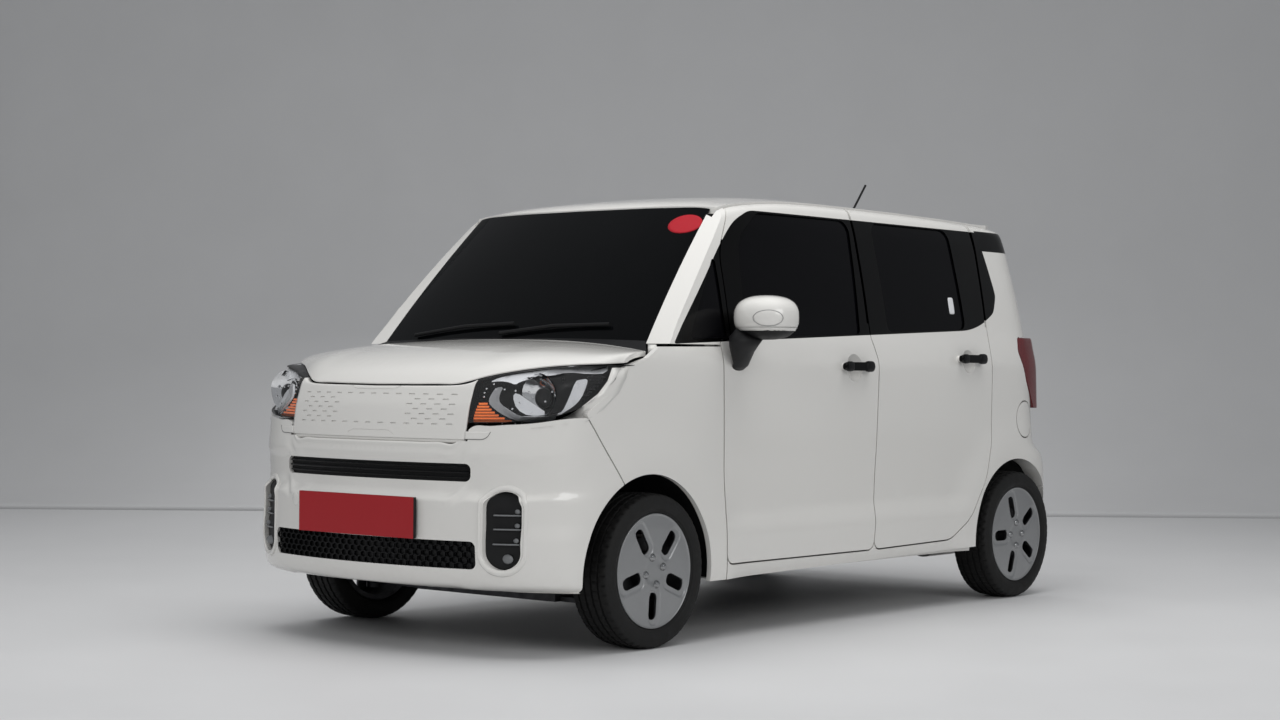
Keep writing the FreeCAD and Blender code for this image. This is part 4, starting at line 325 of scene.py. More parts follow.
def add_object(name, data):
    """A new object in the scene."""
    obj = bpy.data.objects.new(name, data)
    bpy.context.scene.collection.objects.link(obj)
    return obj


def set_materials(mesh, *keys):
    """The materials of a mesh, in place of those it had."""
    mesh.materials.clear()
    for key in keys:
        mesh.materials.append(MAT[key])


for node_name, node in NODES.items():
    kinds = [key for key, names in NODE_LOOKS.items() if node_name in names.split()]
    kinds += [key for part, key in NODE_KINDS if part in node_name]
    set_materials(node.data, kinds[0])


# Mesh helpers
def clean_mesh(mesh, merge=0.0):
    """Turns the normals outwards, after merging vertices that lie this close."""
    bm = bmesh.new()
    bm.from_mesh(mesh)
    if merge:
        bmesh.ops.remove_doubles(bm, verts=bm.verts, dist=merge)
    bmesh.ops.recalc_face_normals(bm, faces=bm.faces)
    bm.to_mesh(mesh)
    bm.free()


def shade_smooth(mesh):
    """Smooth shading on every face."""
    mesh.polygons.foreach_set("use_smooth", [True] * len(mesh.polygons))


PAINT = ("white_plastic", "bumper_paint")
TRIM = ("black", "trim_black")
GLOSS = ("gloss_black", "trim_black")


def make_object(name, part, mat, slot, body="shell", smooth=True):
    """A mesh object from vertices and faces, or from a list of such parts, that rides on a body."""
    verts, faces = joined_parts(part) if isinstance(part, list) else part
    mesh = bpy.data.meshes.new(name)
    mesh.from_pydata([tuple(v) for v in verts], [], faces)
    mesh.validate()
    mesh.update()
    clean_mesh(mesh)
    set_materials(mesh, mat)
    if smooth:
        shade_smooth(mesh)
    obj = add_object(name, mesh)
    if body:
        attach(obj, body)
    return obj


def side_of(point, side):
    """The point as it is on the left, or mirrored to the right."""
    return vec(point.x, point.y if side < 0 else -point.y, point.z)


def make_pair(name, part, mat, slot, body="shell", smooth=True):
    """A left piece and its mirror image; a body's name that ends in _ gets left or right too."""
    pair = []
    verts, faces = joined_parts(part) if isinstance(part, list) else part
    for side, hand in SIDES:
        mirrored = ([side_of(v, side) for v in verts], faces)
        rides = body + hand if body.endswith("_") else body
        pair.append(make_object("%s_%s" % (name, hand), mirrored, mat, slot, rides, smooth))
    return pair


def bvh(*names):
    """A search tree of some nodes' meshes."""
    verts, faces = [], []
    for name in names:
        mesh = NODES[name].data
        start = len(verts)
        verts += [NODES[name].matrix_world @ v.co for v in mesh.vertices]
        faces += [[start + i for i in p.vertices] for p in mesh.polygons]
    return BVHTree.FromPolygons(verts, faces)


def loft(rings, close_ring=True, cap=True):
    """Vertices and faces through a row of rings with equal counts."""
    verts, faces = [], []
    count = len(rings[0])
    for k, ring in enumerate(rings):
        verts += [Vector(p) for p in ring]
        if k:
            for i in range(count if close_ring else count - 1):
                j = (i + 1) % count
                faces.append(((k - 1) * count + i, (k - 1) * count + j, k * count + j, k * count + i))
    if cap:
        faces.append(tuple(reversed(range(count))))
        faces.append(tuple((len(rings) - 1) * count + i for i in range(count)))
    return verts, faces


def joined_parts(parts):
    """One list of vertices and faces from several."""
    verts, faces = [], []
    for part_verts, part_faces in parts:
        start = len(verts)
        verts += part_verts
        faces += [tuple(start + i for i in face) for face in part_faces]
    return verts, faces


def box_part(low, high, chamfer):
    """A box with chamfered edges along its longest side."""
    size = [high[k] - low[k] for k in range(3)]
    long = size.index(max(size))
    a, b = [k for k in range(3) if k != long]
    cut = min(chamfer, size[a] * 0.45, size[b] * 0.45)
    corners = [(low[a] + cut, low[b]), (high[a] - cut, low[b]), (high[a], low[b] + cut),
               (high[a], high[b] - cut), (high[a] - cut, high[b]), (low[a] + cut, high[b]),
               (low[a], high[b] - cut), (low[a], low[b] + cut)]
    rings = []
    for end in (low[long], high[long]):
        ring = []
        for ca, cb in corners:
            p = Vector()
            p[a], p[b], p[long] = ca, cb, end
            ring.append(p)
        rings.append(ring)
    return loft(rings)


def tube_part(path, radius, sides=8, closed=False, flat=1.0):
    """A tube along points, or round a closed loop; flat widens it level."""
    rings = []
    count = len(path)
    for k, p in enumerate(path):
        ahead = path[(k + 1) % count] if closed else path[min(k + 1, count - 1)]
        back = path[(k - 1) % count] if closed else path[max(k - 1, 0)]
        along = (ahead - back).normalized()
        across = along.cross(vec(0, 0, 1))
        if across.length < 1e-4:
            across = along.cross(vec(1, 0, 0))
        across.normalize()
        lift = across.cross(along).normalized()
        rings.append([p + across * (c * radius * flat) + lift * (s * radius) for c, s in circle(sides)])
    if closed:
        rings.append(rings[0])
    return loft(rings, True, not closed)


def sheet_part(front, back, rows):
    """A sheet between two grids of points with this many rows in a column."""
    count = len(front)
    last = count - rows
    faces = []
    for a in range(last):
        if a % rows < rows - 1:
            b = a + rows
            faces += [(a, b, b + 1, a + 1), (count + a, count + a + 1, count + b + 1, count + b)]
    ring = [*range(0, last, rows), *range(last, count - 1), *range(count - 1, rows - 1, -rows),
            *range(rows - 1, 0, -1)]
    faces += [(a, b, count + b, count + a) for a, b in zip(ring, ring[1:] + ring[:1])]
    return [*front, *back], faces


def ball_part(middle, radius, count=12, squash=(1.0, 1.0, 1.0)):
    """A ball or an oval."""
    rings = []
    for k in range(count + 1):
        polar = math.pi * (0.02 + 0.96 * k / count)
        x, size = -math.cos(polar) * radius * squash[0], math.sin(polar) * radius
        rings.append([middle + vec(x, c * size * squash[1], s * size * squash[2])
                      for c, s in circle(count * 2)])
    return loft(rings)


def oval_shell(middle, half, power, rings=28, count=40, lower=-1.0, upper=1.0, back=1.0):
    """A blunt oval; lower, upper and back clip it, as shares of its half height and half depth."""
    out = []
    for k in range(rings + 1):
        polar = -math.pi / 2 + math.pi * (0.01 + 0.98 * k / rings)
        y = signed_power(math.sin(polar), 2 / power)
        size = abs(math.cos(polar)) ** (2 / power)
        ring = []
        for c, s in circle(count):
            x = min(signed_power(c, 2 / power) * size, back)
            z = min(max(signed_power(s, 2 / power) * size, lower), upper)
            ring.append(middle + vec(x * half[0], y * half[1], z * half[2]))
        out.append(ring)
    return loft(out)


def modify(obj, kind, **values):
    """A modifier with its settings."""
    made = obj.modifiers.new(kind.lower(), kind)
    for key, value in values.items():
        setattr(made, key, value)
    return made


def apply_all(obj):
    """Applies the object's modifiers."""
    deps = bpy.context.evaluated_depsgraph_get()
    mesh = bpy.data.meshes.new_from_object(obj.evaluated_get(deps))
    obj.modifiers.clear()
    obj.data = mesh


def carve(obj, parts):
    """Cuts parts out of a mesh object."""
    cutter = make_object("cutter", parts, "body", None, None, False)
    modify(obj, "BOOLEAN", operation="DIFFERENCE", solver="EXACT", object=cutter)
    apply_all(obj)
    bpy.data.objects.remove(cutter)


# The camera's geometry, which also places what the photograph shows
PHOTO_W, PHOTO_H = 1280.0, 720.0
YAW, PITCH, ROLL = math.radians(50.13), math.radians(-0.16), math.radians(0.43)
FOCAL = 2245.0
SENSOR = 36.0
EYE = vec(-7.2685, -5.874, 1.008)
CAR_AWAY = 7.9
LOOK = vec(math.sin(YAW) * math.cos(PITCH), math.cos(YAW) * math.cos(PITCH), -math.sin(PITCH))
LEVEL = vec(math.cos(YAW), -math.sin(YAW), 0.0)
LIFT = LEVEL.cross(LOOK)
RIGHT = LEVEL * math.cos(ROLL) + LIFT * math.sin(ROLL)
UP = LIFT * math.cos(ROLL) - LEVEL * math.sin(ROLL)


def sight(px, py):
    """The direction of a pixel of the photograph."""
    return (LOOK * FOCAL + RIGHT * (px - PHOTO_W / 2) + UP * (PHOTO_H / 2 - py)).normalized()


def seen(tree, px, py, depth=0.0):
    """The point of a surface at a pixel, or beside it, moved on along the line of sight."""
    line = sight(px, py)
    hit = tree.ray_cast(EYE, line)[0]
    if hit is None:
        hit = EYE + line * CAR_AWAY
        for _ in range(6):
            near = tree.find_nearest(hit)[0]
            hit = EYE + line * (near - EYE).dot(line)
    return hit + line * depth


# Headlamps; their outlines are in units of enlarged drawings: left, top, units to a pixel
LAMP_TREE = bvh("headlamps")
LAMP_DRAWING = (440.0, 340.0, 7.84)
FILL_DRAWING = (250.0, 340.0, 4.02)


def drawn(tree, drawing, cx, cy, depth=0.0):
    """The point of a surface under a point of a drawing."""
    left, top, scale = drawing
    return seen(tree, left + cx / scale, top + cy / scale, depth)


def lamp_point(cx, cy, depth):
    """A point inside the left headlamp."""
    return drawn(LAMP_TREE, LAMP_DRAWING, cx, cy, depth)


def finer(points, step):
    """A closed outline with more points on its sides."""
    out = []
    for a, b in zip(points, points[1:] + points[:1]):
        count = max(1, int(math.hypot(b[0] - a[0], b[1] - a[1]) / step))
        out += [(a[0] + (b[0] - a[0]) * i / count, a[1] + (b[1] - a[1]) * i / count) for i in range(count)]
    return out


def smoothed(points, rounds):
    """A closed outline with its corners cut some times."""
    for _ in range(rounds):
        out = []
        for a, b in zip(points, points[1:] + points[:1]):
            for share in (0.25, 0.75):
                out.append((a[0] * (1 - share) + b[0] * share, a[1] * (1 - share) + b[1] * share))
        points = out
    return points


def lamp_plate(points, depth, thick, rounds=1):
    """A plate inside the lamp with this outline."""
    points = finer(smoothed(points, rounds), 40.0)
    return loft([[lamp_point(cx, cy, deep) for cx, cy in points] for deep in (depth, depth + thick)])


def row_bar(row, half, depth, thick):
    """A level bar inside the lamp."""
    cy, x0, x1 = row
    points = [(x0, cy - half), (x1, cy - half), (x1 + half * 0.4, cy), (x1, cy + half), (x0, cy + half)]
    return lamp_plate(points, depth, thick, 0)


def lamp_bowl(cx, cy, depth, radius, sink, facets=28, rings=6):
    """A faceted reflector bowl that looks forward."""
    middle = lamp_point(cx, cy, depth)
    out = []
    for k in range(rings + 1):
        share = k / rings
        r = radius * (1.0 - 0.78 * share)
        x = sink * (1.0 - (1.0 - share) ** 2)
        ring = []
        for i in range(facets):
            angle = 2 * math.pi * i / facets + (0.1 if k % 2 else 0.0)
            ripple = r * (1.0 + 0.025 * math.sin(5.0 * angle + k))
            ring.append(middle + vec(x, math.cos(angle) * ripple * 1.05, math.sin(angle) * ripple))
        out.append(ring)
    shell = [[p + vec(0.003, 0, 0) for p in ring] for ring in reversed(out)]
    return loft(out + shell, True, False)


def split_lamp_faces():
    """The lens in front, the housing behind and at the edges."""
    mesh = NODES["headlamps"].data
    set_materials(mesh, "lens", "gloss_black")
    for face in mesh.polygons:
        ahead = -face.normal.x
        outward = math.copysign(1.0, face.center.y) * face.normal.y
        lens = (ahead > 0.3 or outward > 0.45) and abs(face.normal.z) < 0.8 and ahead > -0.2
        face.material_index = 0 if lens else 1


split_lamp_faces()

J_GUIDE = [(408, 415), (440, 372), (500, 368), (470, 420), (462, 470), (480, 505), (540, 552), (620, 595),
           (700, 606), (850, 600), (905, 592), (915, 618), (830, 640), (690, 648), (580, 628), (470, 575),
           (392, 512), (380, 470)]
J_ARM = [(960, 562), (1012, 455), (1062, 322), (1095, 312), (1160, 304), (1150, 360), (1108, 458),
         (1050, 520), (985, 560), (935, 592), (900, 600), (925, 575)]
TOP_STRIP = [(385, 332), (470, 292), (700, 252), (1010, 208), (1325, 172), (1310, 262), (1180, 268),
             (1000, 252), (860, 285), (690, 310), (625, 330), (590, 352), (540, 330), (470, 322)]
LOWER_PLATE = [(568, 440), (600, 410), (700, 480), (860, 585), (700, 600), (600, 545)]
AMBER_ROWS = [(500, 305, 372), (523, 292, 384), (546, 282, 402), (569, 274, 428), (592, 268, 458),
              (615, 264, 505), (636, 264, 560)]
DARK_ROWS = [(288, 1170, 1292), (312, 1168, 1278), (336, 1160, 1258), (360, 1150, 1236), (384, 1140, 1214),
             (408, 1132, 1190), (432, 1124, 1166)]
DOTS = [(440, 384), (507, 388), (592, 398), (424, 346), (366, 382), (350, 414), (346, 446), (700, 408),
        (880, 406), (826, 482), (626, 492), (566, 540), (588, 650), (640, 650), (712, 644), (486, 654),
        (372, 652)]


def make_lamp_inside():
    """Everything behind the headlamps' lenses."""
    sets = {
        "lamp_guide": ("lamp_silver", [lamp_plate(J_GUIDE, 0.012, 0.008), lamp_plate(J_ARM, 0.012, 0.008),
                                       lamp_plate(TOP_STRIP, 0.008, 0.008)]),
        "lamp_plate": ("lamp_silver", [lamp_plate(LOWER_PLATE, 0.03, 0.006)]),
        "lamp_reflector": ("chrome", [lamp_bowl(775, 432, 0.034, 0.074, 0.04)]),
        "lamp_ball": ("gloss_black", [ball_part(lamp_point(810, 455, 0.052), 0.036, 14, (0.5, 1.0, 1.0))]),
        "lamp_amber": ("amber", [row_bar(row, 8, 0.02, 0.01) for row in AMBER_ROWS]),
        "lamp_ribs": ("gloss_black", [row_bar(row, 6, 0.01, 0.012) for row in DARK_ROWS]),
        "lamp_dots": ("chrome", [ball_part(lamp_point(cx, cy, 0.012), 0.0042, 5) for cx, cy in DOTS]),
    }
    for name, (mat, parts) in sets.items():
        for obj in make_pair(name, parts, mat, "lamp_clear", smooth=name != "lamp_reflector"):
            obj.data.set_sharp_from_angle(angle=math.radians(35))


make_lamp_inside()

FILL_INNER = [(1130, 344), (1165, 339), (1200, 332), (1245, 318), (1285, 300), (1340, 264), (1400, 216),
              (1438, 165), (1456, 112)]
FILL_OUTER = [(1130, 355), (1170, 352), (1210, 346), (1272, 338), (1352, 328), (1422, 278), (1484, 212),
              (1514, 150), (1522, 110)]
FILL_OUT = vec(-0.0012, -0.0012, 0.0)
FILL_THICK = vec(0.002, 0.003, 0.0)
CORNER_FACE = ((659.0, 350.0), (651.0, 359.0), (653.0, 341.0))
CORNER_FILL = ((648.0, 354.4), (647.8, 344.4), (656.5, 348.6), (656.5, 344.6))


def make_lamp_fill():
    """The body colour between the lamp's outer edge and the opening's."""
    skin = bvh("front_bumper", "front_fenders")
    front = []
    for a, b in zip(FILL_INNER, FILL_OUTER):
        inner = drawn(LAMP_TREE, FILL_DRAWING, *a)
        outer = drawn(skin, FILL_DRAWING, *b)
        front += [inner.lerp(outer, k / 3) + FILL_OUT for k in range(4)]
    make_pair("lamp_fill", sheet_part(front, [p + FILL_THICK for p in front], 4), *PAINT)


def make_corner_fill():
    """The body colour beside the bonnet's rear corners."""
    wing = bvh("front_fenders")
    trees = (wing, wing, bvh("side_frame_left"))
    a, b, c = [seen(tree, *place) for tree, place in zip(trees, CORNER_FACE)]
    away = (b - a).cross(c - a).normalized()
    front = []
    for place in CORNER_FILL:
        line = sight(*place)
        front.append(EYE + line * ((a - EYE).dot(away) / line.dot(away)))
    back = [p + sight(650.0, 350.0) * 0.003 for p in front]
    make_pair("corner_fill", sheet_part(front, back, 2), *PAINT)


make_lamp_fill()
make_corner_fill()

# Grille panel with its pressed dashes
DASH_ROWS = 7
DASH_PITCH_Y = 0.0625
DASH_PITCH_Z = 0.0172
DASH_TOP_Z = 0.905
DASH_FIELD = 0.4
PLAIN_FIELD = 0.17
DASH_HALF, DASH_HIGH, DASH_DEEP = 0.0135, 0.0024, 0.004
PANEL_TREE = bvh("grille_panel")
BACK_TREE = bvh("front_grilles")
SKIN_TREE = bvh("front_bumper", "number_plate")


def front_hit(tree, y, z):
    """Where a line from straight ahead meets a surface."""
    return tree.ray_cast(vec(-3.0, y, z), vec(1, 0, 0))[:2]


def front_path(tree, places, out=0.0):
    """A surface's points at some (y, z), moved forwards; a hole is left out."""
    hits = [front_hit(tree, y, z)[0] for y, z in places]
    return [hit - vec(out, 0, 0) for hit in hits if hit is not None]


def dash_places():
    """The centres of the pressed dashes, (y, z)."""
    places = []
    for row in range(DASH_ROWS):
        shift = 0.5 if row % 2 else 0.0
        for k in range(-6, 7):
            y = (k + shift) * DASH_PITCH_Y
            whole = row in (0, DASH_ROWS - 1)
            if abs(y) <= DASH_FIELD and (whole or abs(y) > PLAIN_FIELD):
                places.append((y, DASH_TOP_Z - row * DASH_PITCH_Z))
    return places


def dash_cutter(y, z):
    """A rounded lozenge that cuts one dash."""
    hit, normal = front_hit(PANEL_TREE, y, z)
    if hit is None:
        return None
    if normal.x > 0:
        normal = -normal
    along = vec(0, 0, 1).cross(normal).normalized()
    rise = normal.cross(along).normalized()
    rings = []
    for level in (-DASH_DEEP, DASH_DEEP):
        ring = []
        for c, s in circle(12):
            flat = DASH_HALF - DASH_HIGH if c > 0 else DASH_HIGH - DASH_HALF
            ring.append(hit + normal * level + along * (flat + c * DASH_HIGH) + rise * (s * DASH_HIGH))
        rings.append(ring)
    return loft(rings)


def groove(points, radius=0.0016):
    """A thin round cutter laid on the panel through points (y, z)."""
    places = []
    for (ya, za), (yb, zb) in zip(points, points[1:]):
        places += [(ya + (yb - ya) * k / 6, za + (zb - za) * k / 6) for k in range(6)]
    return tube_part(front_path(PANEL_TREE, places), radius, 6)


def make_grille_panel():
    """The panel between the lamps with its dashes and lines."""
    mesh = NODES["grille_panel"].data.copy()
    set_materials(mesh, "body")
    panel = add_object("grille_face", mesh)
    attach(panel, "shell")
    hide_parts("grille_panel")
    parts = [dash_cutter(y, z) for y, z in dash_places()]
    parts = [p for p in parts if p]
    parts.append(groove([(-0.13, 0.934), (-0.098, 0.921), (0.098, 0.921), (0.13, 0.934)]))
    parts.append(groove([(-0.135, 0.762), (-0.105, 0.776), (0.075, 0.776), (0.105, 0.762)]))
    carve(panel, parts)


make_grille_panel()

# Bumper openings
POD_Y, POD_Z = 0.598, 0.441
POD_W, POD_H = 0.062, 0.134
POD_RIM_OUT = 0.012
POD_RIM = ((0.94, -0.022), (0.925, -0.004), (0.94, 0.004), (0.985, 0.007), (1.03, 0.0055), (1.07, 0.001),
           (1.085, -0.006), (1.05, -0.016))
POD_BARS = (0.494, 0.446, 0.395)
POD_BAR_ENDS = (POD_Y - POD_W * 0.48, POD_Y + POD_W * 0.88)
POD_BAR_OUT = 0.009
POD_LED = vec(0.003, 0.004, 0.013)
POD_LAMP_Y, POD_LAMP_Z = POD_Y + 0.012, 0.345
HONEYCOMB_W, HONEYCOMB_H = 0.034, 0.0245
HONEYCOMB_LOW = 0.316
HONEYCOMB_END = 0.495
SLOT_END = 0.458
SLOT_BARS = ((0.636, 0.0045), (0.619, 0.003), (0.653, 0.003))
SLOT_BAR_OUT = 0.008
CELL_SHARE = 0.56
CELL_RINGS = ((0.99, 0.002), (0.99, 0.01), (0.8, 0.01), (0.8, 0.002))


def oblong(half_w, half_h, count):
    """An upright oblong outline (y, z) round its own centre."""
    straight = half_h - half_w
    return [(half_w * c, half_w * s + (straight if s > 0 else -straight)) for c, s in circle(count)]


def make_pods():
    """The rims, bars and lamps of both bumper pods."""
    ring = []
    for dy, dz in oblong(POD_W + POD_RIM_OUT, POD_H + POD_RIM_OUT, 56):
        y, z = -(POD_Y + dy), POD_Z + dz
        hit = front_hit(SKIN_TREE, y, z)[0]
        ring.append(hit or SKIN_TREE.find_nearest(vec(-1.7, y, z))[0])
    middle = sum(ring, Vector()) / len(ring)
    rings = [[middle + (p - middle) * share - vec(out, 0, 0) for p in ring] for share, out in POD_RIM]
    rings.append(rings[0])
    bars, lamps = [], []
    for z in POD_BARS:
        along = steps(-POD_BAR_ENDS[0], -POD_BAR_ENDS[1], 8)
        path = front_path(BACK_TREE, [(y, z) for y in along], POD_BAR_OUT)
        bars.append(tube_part(path, 0.003, 8, False, 1.6))
        lamps.append(ball_part(path[-2] + POD_LED, 0.011, 8, (0.5, 1.1, 0.8)))
    low = front_path(BACK_TREE, [(-POD_LAMP_Y, POD_LAMP_Z)], 0.002)[0]
    make_pair("pod_rim", loft(rings, True, False), *PAINT)
    make_pair("pod_bars", bars, "bar", "trim_black")
    make_pair("pod_leds", lamps, "bar", "trim_black")
    make_pair("pod_lamp", ball_part(low, 0.021, 8, (0.45, 1.2, 0.8)), "bar", "lamp_clear")


def honeycomb_cell(base, y, z):
    """One cell's walls in front of a point of the back."""
    outline = [(HONEYCOMB_W * CELL_SHARE * math.cos(a), HONEYCOMB_H * CELL_SHARE * math.sin(a))
               for a in [math.radians(30 + 60 * i) for i in range(6)]]
    rings = []
    for scale, out in CELL_RINGS:
        rings.append([vec(base.x - out, y + dy * scale, z + dz * scale) for dy, dz in outline])
    return loft(rings + rings[:1], True, False)


def make_mesh_grille():
    """The honeycomb of the lower opening and the bars of the upper slot."""
    cells = []
    for row in range(5):
        z = HONEYCOMB_LOW + row * HONEYCOMB_H * 0.8
        for k in range(-15, 16):
            y = k * HONEYCOMB_W + (HONEYCOMB_W / 2 if row % 2 else 0.0)
            base = front_hit(BACK_TREE, y, z)[0]
            if abs(y) <= HONEYCOMB_END and base is not None:
                cells.append(honeycomb_cell(base, y, z))
    make_object("mesh_grille", cells, *GLOSS, smooth=False)
    bars = []
    for z, radius in SLOT_BARS:
        path = front_path(BACK_TREE, [(y, z) for y in steps(-SLOT_END, SLOT_END, 40)], SLOT_BAR_OUT)
        bars.append(tube_part(path, radius, 8, False, 1.5))
    make_object("slot_bars", bars, *GLOSS)


make_pods()
make_mesh_grille()

# Wheels; a row is distance outwards and radius in the tyre's section, radius and distance in lip and nut
SLOT_ANGLES = [(50, -1), (122, -1), (194, 1), (266, 1), (338, -1)]
SLOT_CORNERS = ((0.154, 0.003, 90), (0.154, -0.003, 0), (0.097, -0.003, 270), (0.097, 0.003, 180))
SLOT_ROUND = 0.02
COVER_OUT, COVER_BACK = 0.0785, 0.0725
COVER_STEPS = 264
COVER_ROWS = 57
COVER_STEP = 0.0035
EDGE_FALL = (0.0018, 0.15, 0.05)
MIDDLE_FALL = (0.0025, 0.06, -0.02)
CHANNEL_FALL = (0.0034, 0.0015, -0.004)
CHANNEL = (0.128, 0.066, 0.03, 0.026)
CHANNEL_ASIDE = 0.012
CUTTER_ENDS = (0.06, 0.1)
LIP = [(0.202, 0.0775), (0.2035, 0.0788), (0.205, 0.0782), (0.206, 0.0755), (0.2055, 0.0715),
       (0.199, 0.071)]
NUT = [(0.0145, 0.0745), (0.0145, 0.079), (0.011, 0.08), (0.0105, 0.085), (0.0085, 0.0862),
       (0.005, 0.0866), (0.0015, 0.0867)]
NUT_ANGLES = (14, 104, 194, 284)
NUT_CIRCLE = 0.05
TYRE_STEPS = 250
TYRE_SECTION = [(0.066, 0.191), (0.0665, 0.204), (0.072, 0.2052), (0.0765, 0.2078), (0.079, 0.211),
                (0.0805, 0.214), (0.0828, 0.215), (0.0842, 0.2168), (0.085, 0.2205), (0.0862, 0.225),
                (0.0868, 0.2262), (0.0872, 0.23), (0.0873, 0.237), (0.087, 0.244), (0.0864, 0.247),
                (0.0866, 0.2482), (0.086, 0.25), (0.085, 0.256), (0.0838, 0.261), (0.0815, 0.2665),
                (0.078, 0.2712), (0.0725, 0.2742), (0.066, 0.2756), (0.059, 0.2765), (0.052, 0.277),
                (0.0505, 0.27), (0.0435, 0.27), (0.042, 0.2773), (0.033, 0.2777), (0.0215, 0.2779),
                (0.02, 0.2706), (0.012, 0.2706), (0.0105, 0.278)]
REAR_TURN = -14.0
CUT_PITCH = 5
CUT_SHIFT = 2
WALL_R, SHOULDER_R, TREAD_R = 0.26, 0.2725, 0.276
WALL_OUT, SHOULDER_OUT, TREAD_OUT = 0.075, 0.053, 0.0525
WALL_CUT, SHOULDER_CUT, TREAD_CUT = 0.002, 0.005, 0.0035


def turned(a, b, degrees):
    """A point of a plane, turned round its origin."""
    c, s = math.cos(math.radians(degrees)), math.sin(math.radians(degrees))
    return a * c - b * s, a * s + b * c


def wheel_frame(side, x, turn):
    """Places a point of a wheel, (out, u, v), on its hub, turned by some degrees."""
    def place(out, u, v):
        u, v = turned(u, v, turn)
        return vec(AXLE_X + x + u, side * (TRACK / 2 + out), HUB_Z + v)
    return place


def hub_ring(place, r, out, count, u=0.0, v=0.0):
    """A ring round a hub, or round a point beside it."""
    return [place(out, u + r * c, v + r * s) for c, s in circle(count)]


def rounded_box_gap(a, b, mid, half_a, half_b, corner):
    """The distance from a rounded oblong, negative inside."""
    da = abs(a - mid) - (half_a - corner)
    db = abs(b) - (half_b - corner)
    return math.hypot(max(da, 0), max(db, 0)) + min(max(da, db), 0.0) - corner


def ease(value):
    """A smooth step from 0 to 1."""
    value = min(max(value, 0.0), 1.0)
    return value * value * (3 - 2 * value)


def fall(value, depth, start, span):
    """A smooth fall to a depth, over a span from a start."""
    return depth * ease((value - start) / span)


def cover_height(u, v):
    """The wheel cover's outer face at a point of its plane."""
    r = math.hypot(u, v)
    out = COVER_OUT - fall(r, *EDGE_FALL) - fall(r, *MIDDLE_FALL)
    for angle, hand in SLOT_ANGLES:
        a, b = turned(u, v, -angle)
        if a >= 0:
            gap = rounded_box_gap(a, b - hand * CHANNEL_ASIDE, *CHANNEL)
            out -= fall(gap, *CHANNEL_FALL)
    return out


def slot_cutter(place, angle):
    """A cutter for one slot of the wheel cover."""
    points = []
    for ca, cb, first in SLOT_CORNERS:
        for k in range(7):
            swing = math.radians(first - 15 * k)
            corner = (ca + SLOT_ROUND * math.cos(swing), cb + SLOT_ROUND * math.sin(swing))
            points.append(turned(*corner, angle))
    return loft([[place(out, u, v) for u, v in points] for out in CUTTER_ENDS])


def make_cover(key, place):
    """A wheel cover with five slots, their channels and a bright lip, and the wheel's nuts."""
    rings = []
    for r in [COVER_STEP * k for k in range(1, COVER_ROWS + 1)]:
        rings.append([place(cover_height(r * c, r * s), r * c, r * s) for c, s in circle(COVER_STEPS)])
    rings += [hub_ring(place, r, out, COVER_STEPS) for r, out in LIP]
    verts, faces = loft(rings, True, False)
    for out, first in ((cover_height(0, 0), 0), (COVER_BACK, len(verts) - COVER_STEPS)):
        faces += [(len(verts), first + i, first + (i + 1) % COVER_STEPS) for i in range(COVER_STEPS)]
        verts.append(place(out, 0, 0))
    cover = make_object("cover_" + key, (verts, faces), "silver", "wheel_paint", "wheel_" + key)
    carve(cover, [slot_cutter(place, angle) for angle, _ in SLOT_ANGLES])
    cover.data.set_sharp_from_angle(angle=math.radians(40))
    nuts = []
    for angle in NUT_ANGLES:
        u, v = turned(NUT_CIRCLE, 0.0, angle)
        nuts.append(loft([hub_ring(place, r, out, 16, u, v) for r, out in NUT]))
    make_object("nuts_" + key, nuts, "nut", "steel", "wheel_" + key)


def tread_cut(i, out, r):
    """How deep the tread or the shoulder is cut at a step round the tyre."""
    if r > SHOULDER_R and abs(out) > SHOULDER_OUT and i % CUT_PITCH == 0:
        return SHOULDER_CUT
    if WALL_R < r <= SHOULDER_R and abs(out) > WALL_OUT and i % CUT_PITCH == 0:
        return WALL_CUT
    shift = CUT_SHIFT if out > 0 else 0
    if r > TREAD_R and abs(out) < TREAD_OUT and (i + shift) % CUT_PITCH == 0:
        return TREAD_CUT
    return 0.0


def make_tyre(key, place):
    """A tyre with sidewall rings, tread grooves and shoulder blocks."""
    section = TYRE_SECTION + [(-out, r) for out, r in TYRE_SECTION[::-1]]
    rings = []
    for i, (c, s) in enumerate(circle(TYRE_STEPS)):
        cut = [(out, r - tread_cut(i, out, r)) for out, r in section]
        rings.append([place(out, r * c, r * s) for out, r in cut])
    tyre = make_object("tread_" + key, loft(rings + rings[:1], True, False), "rubber", "tyre", "wheel_" + key)
    tyre.data.set_sharp_from_angle(angle=math.radians(38))
    clean_mesh(tyre.data, 1e-6)
    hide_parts("tyre_" + key)


for side, hand in SIDES:
    for end, x, turn in (("front", 0.0, 0.0), ("rear", WHEELBASE, REAR_TURN)):
        wheel_place = wheel_frame(side, x, turn)
        make_cover("%s_%s" % (end, hand), wheel_place)
        make_tyre("%s_%s" % (end, hand), wheel_place)


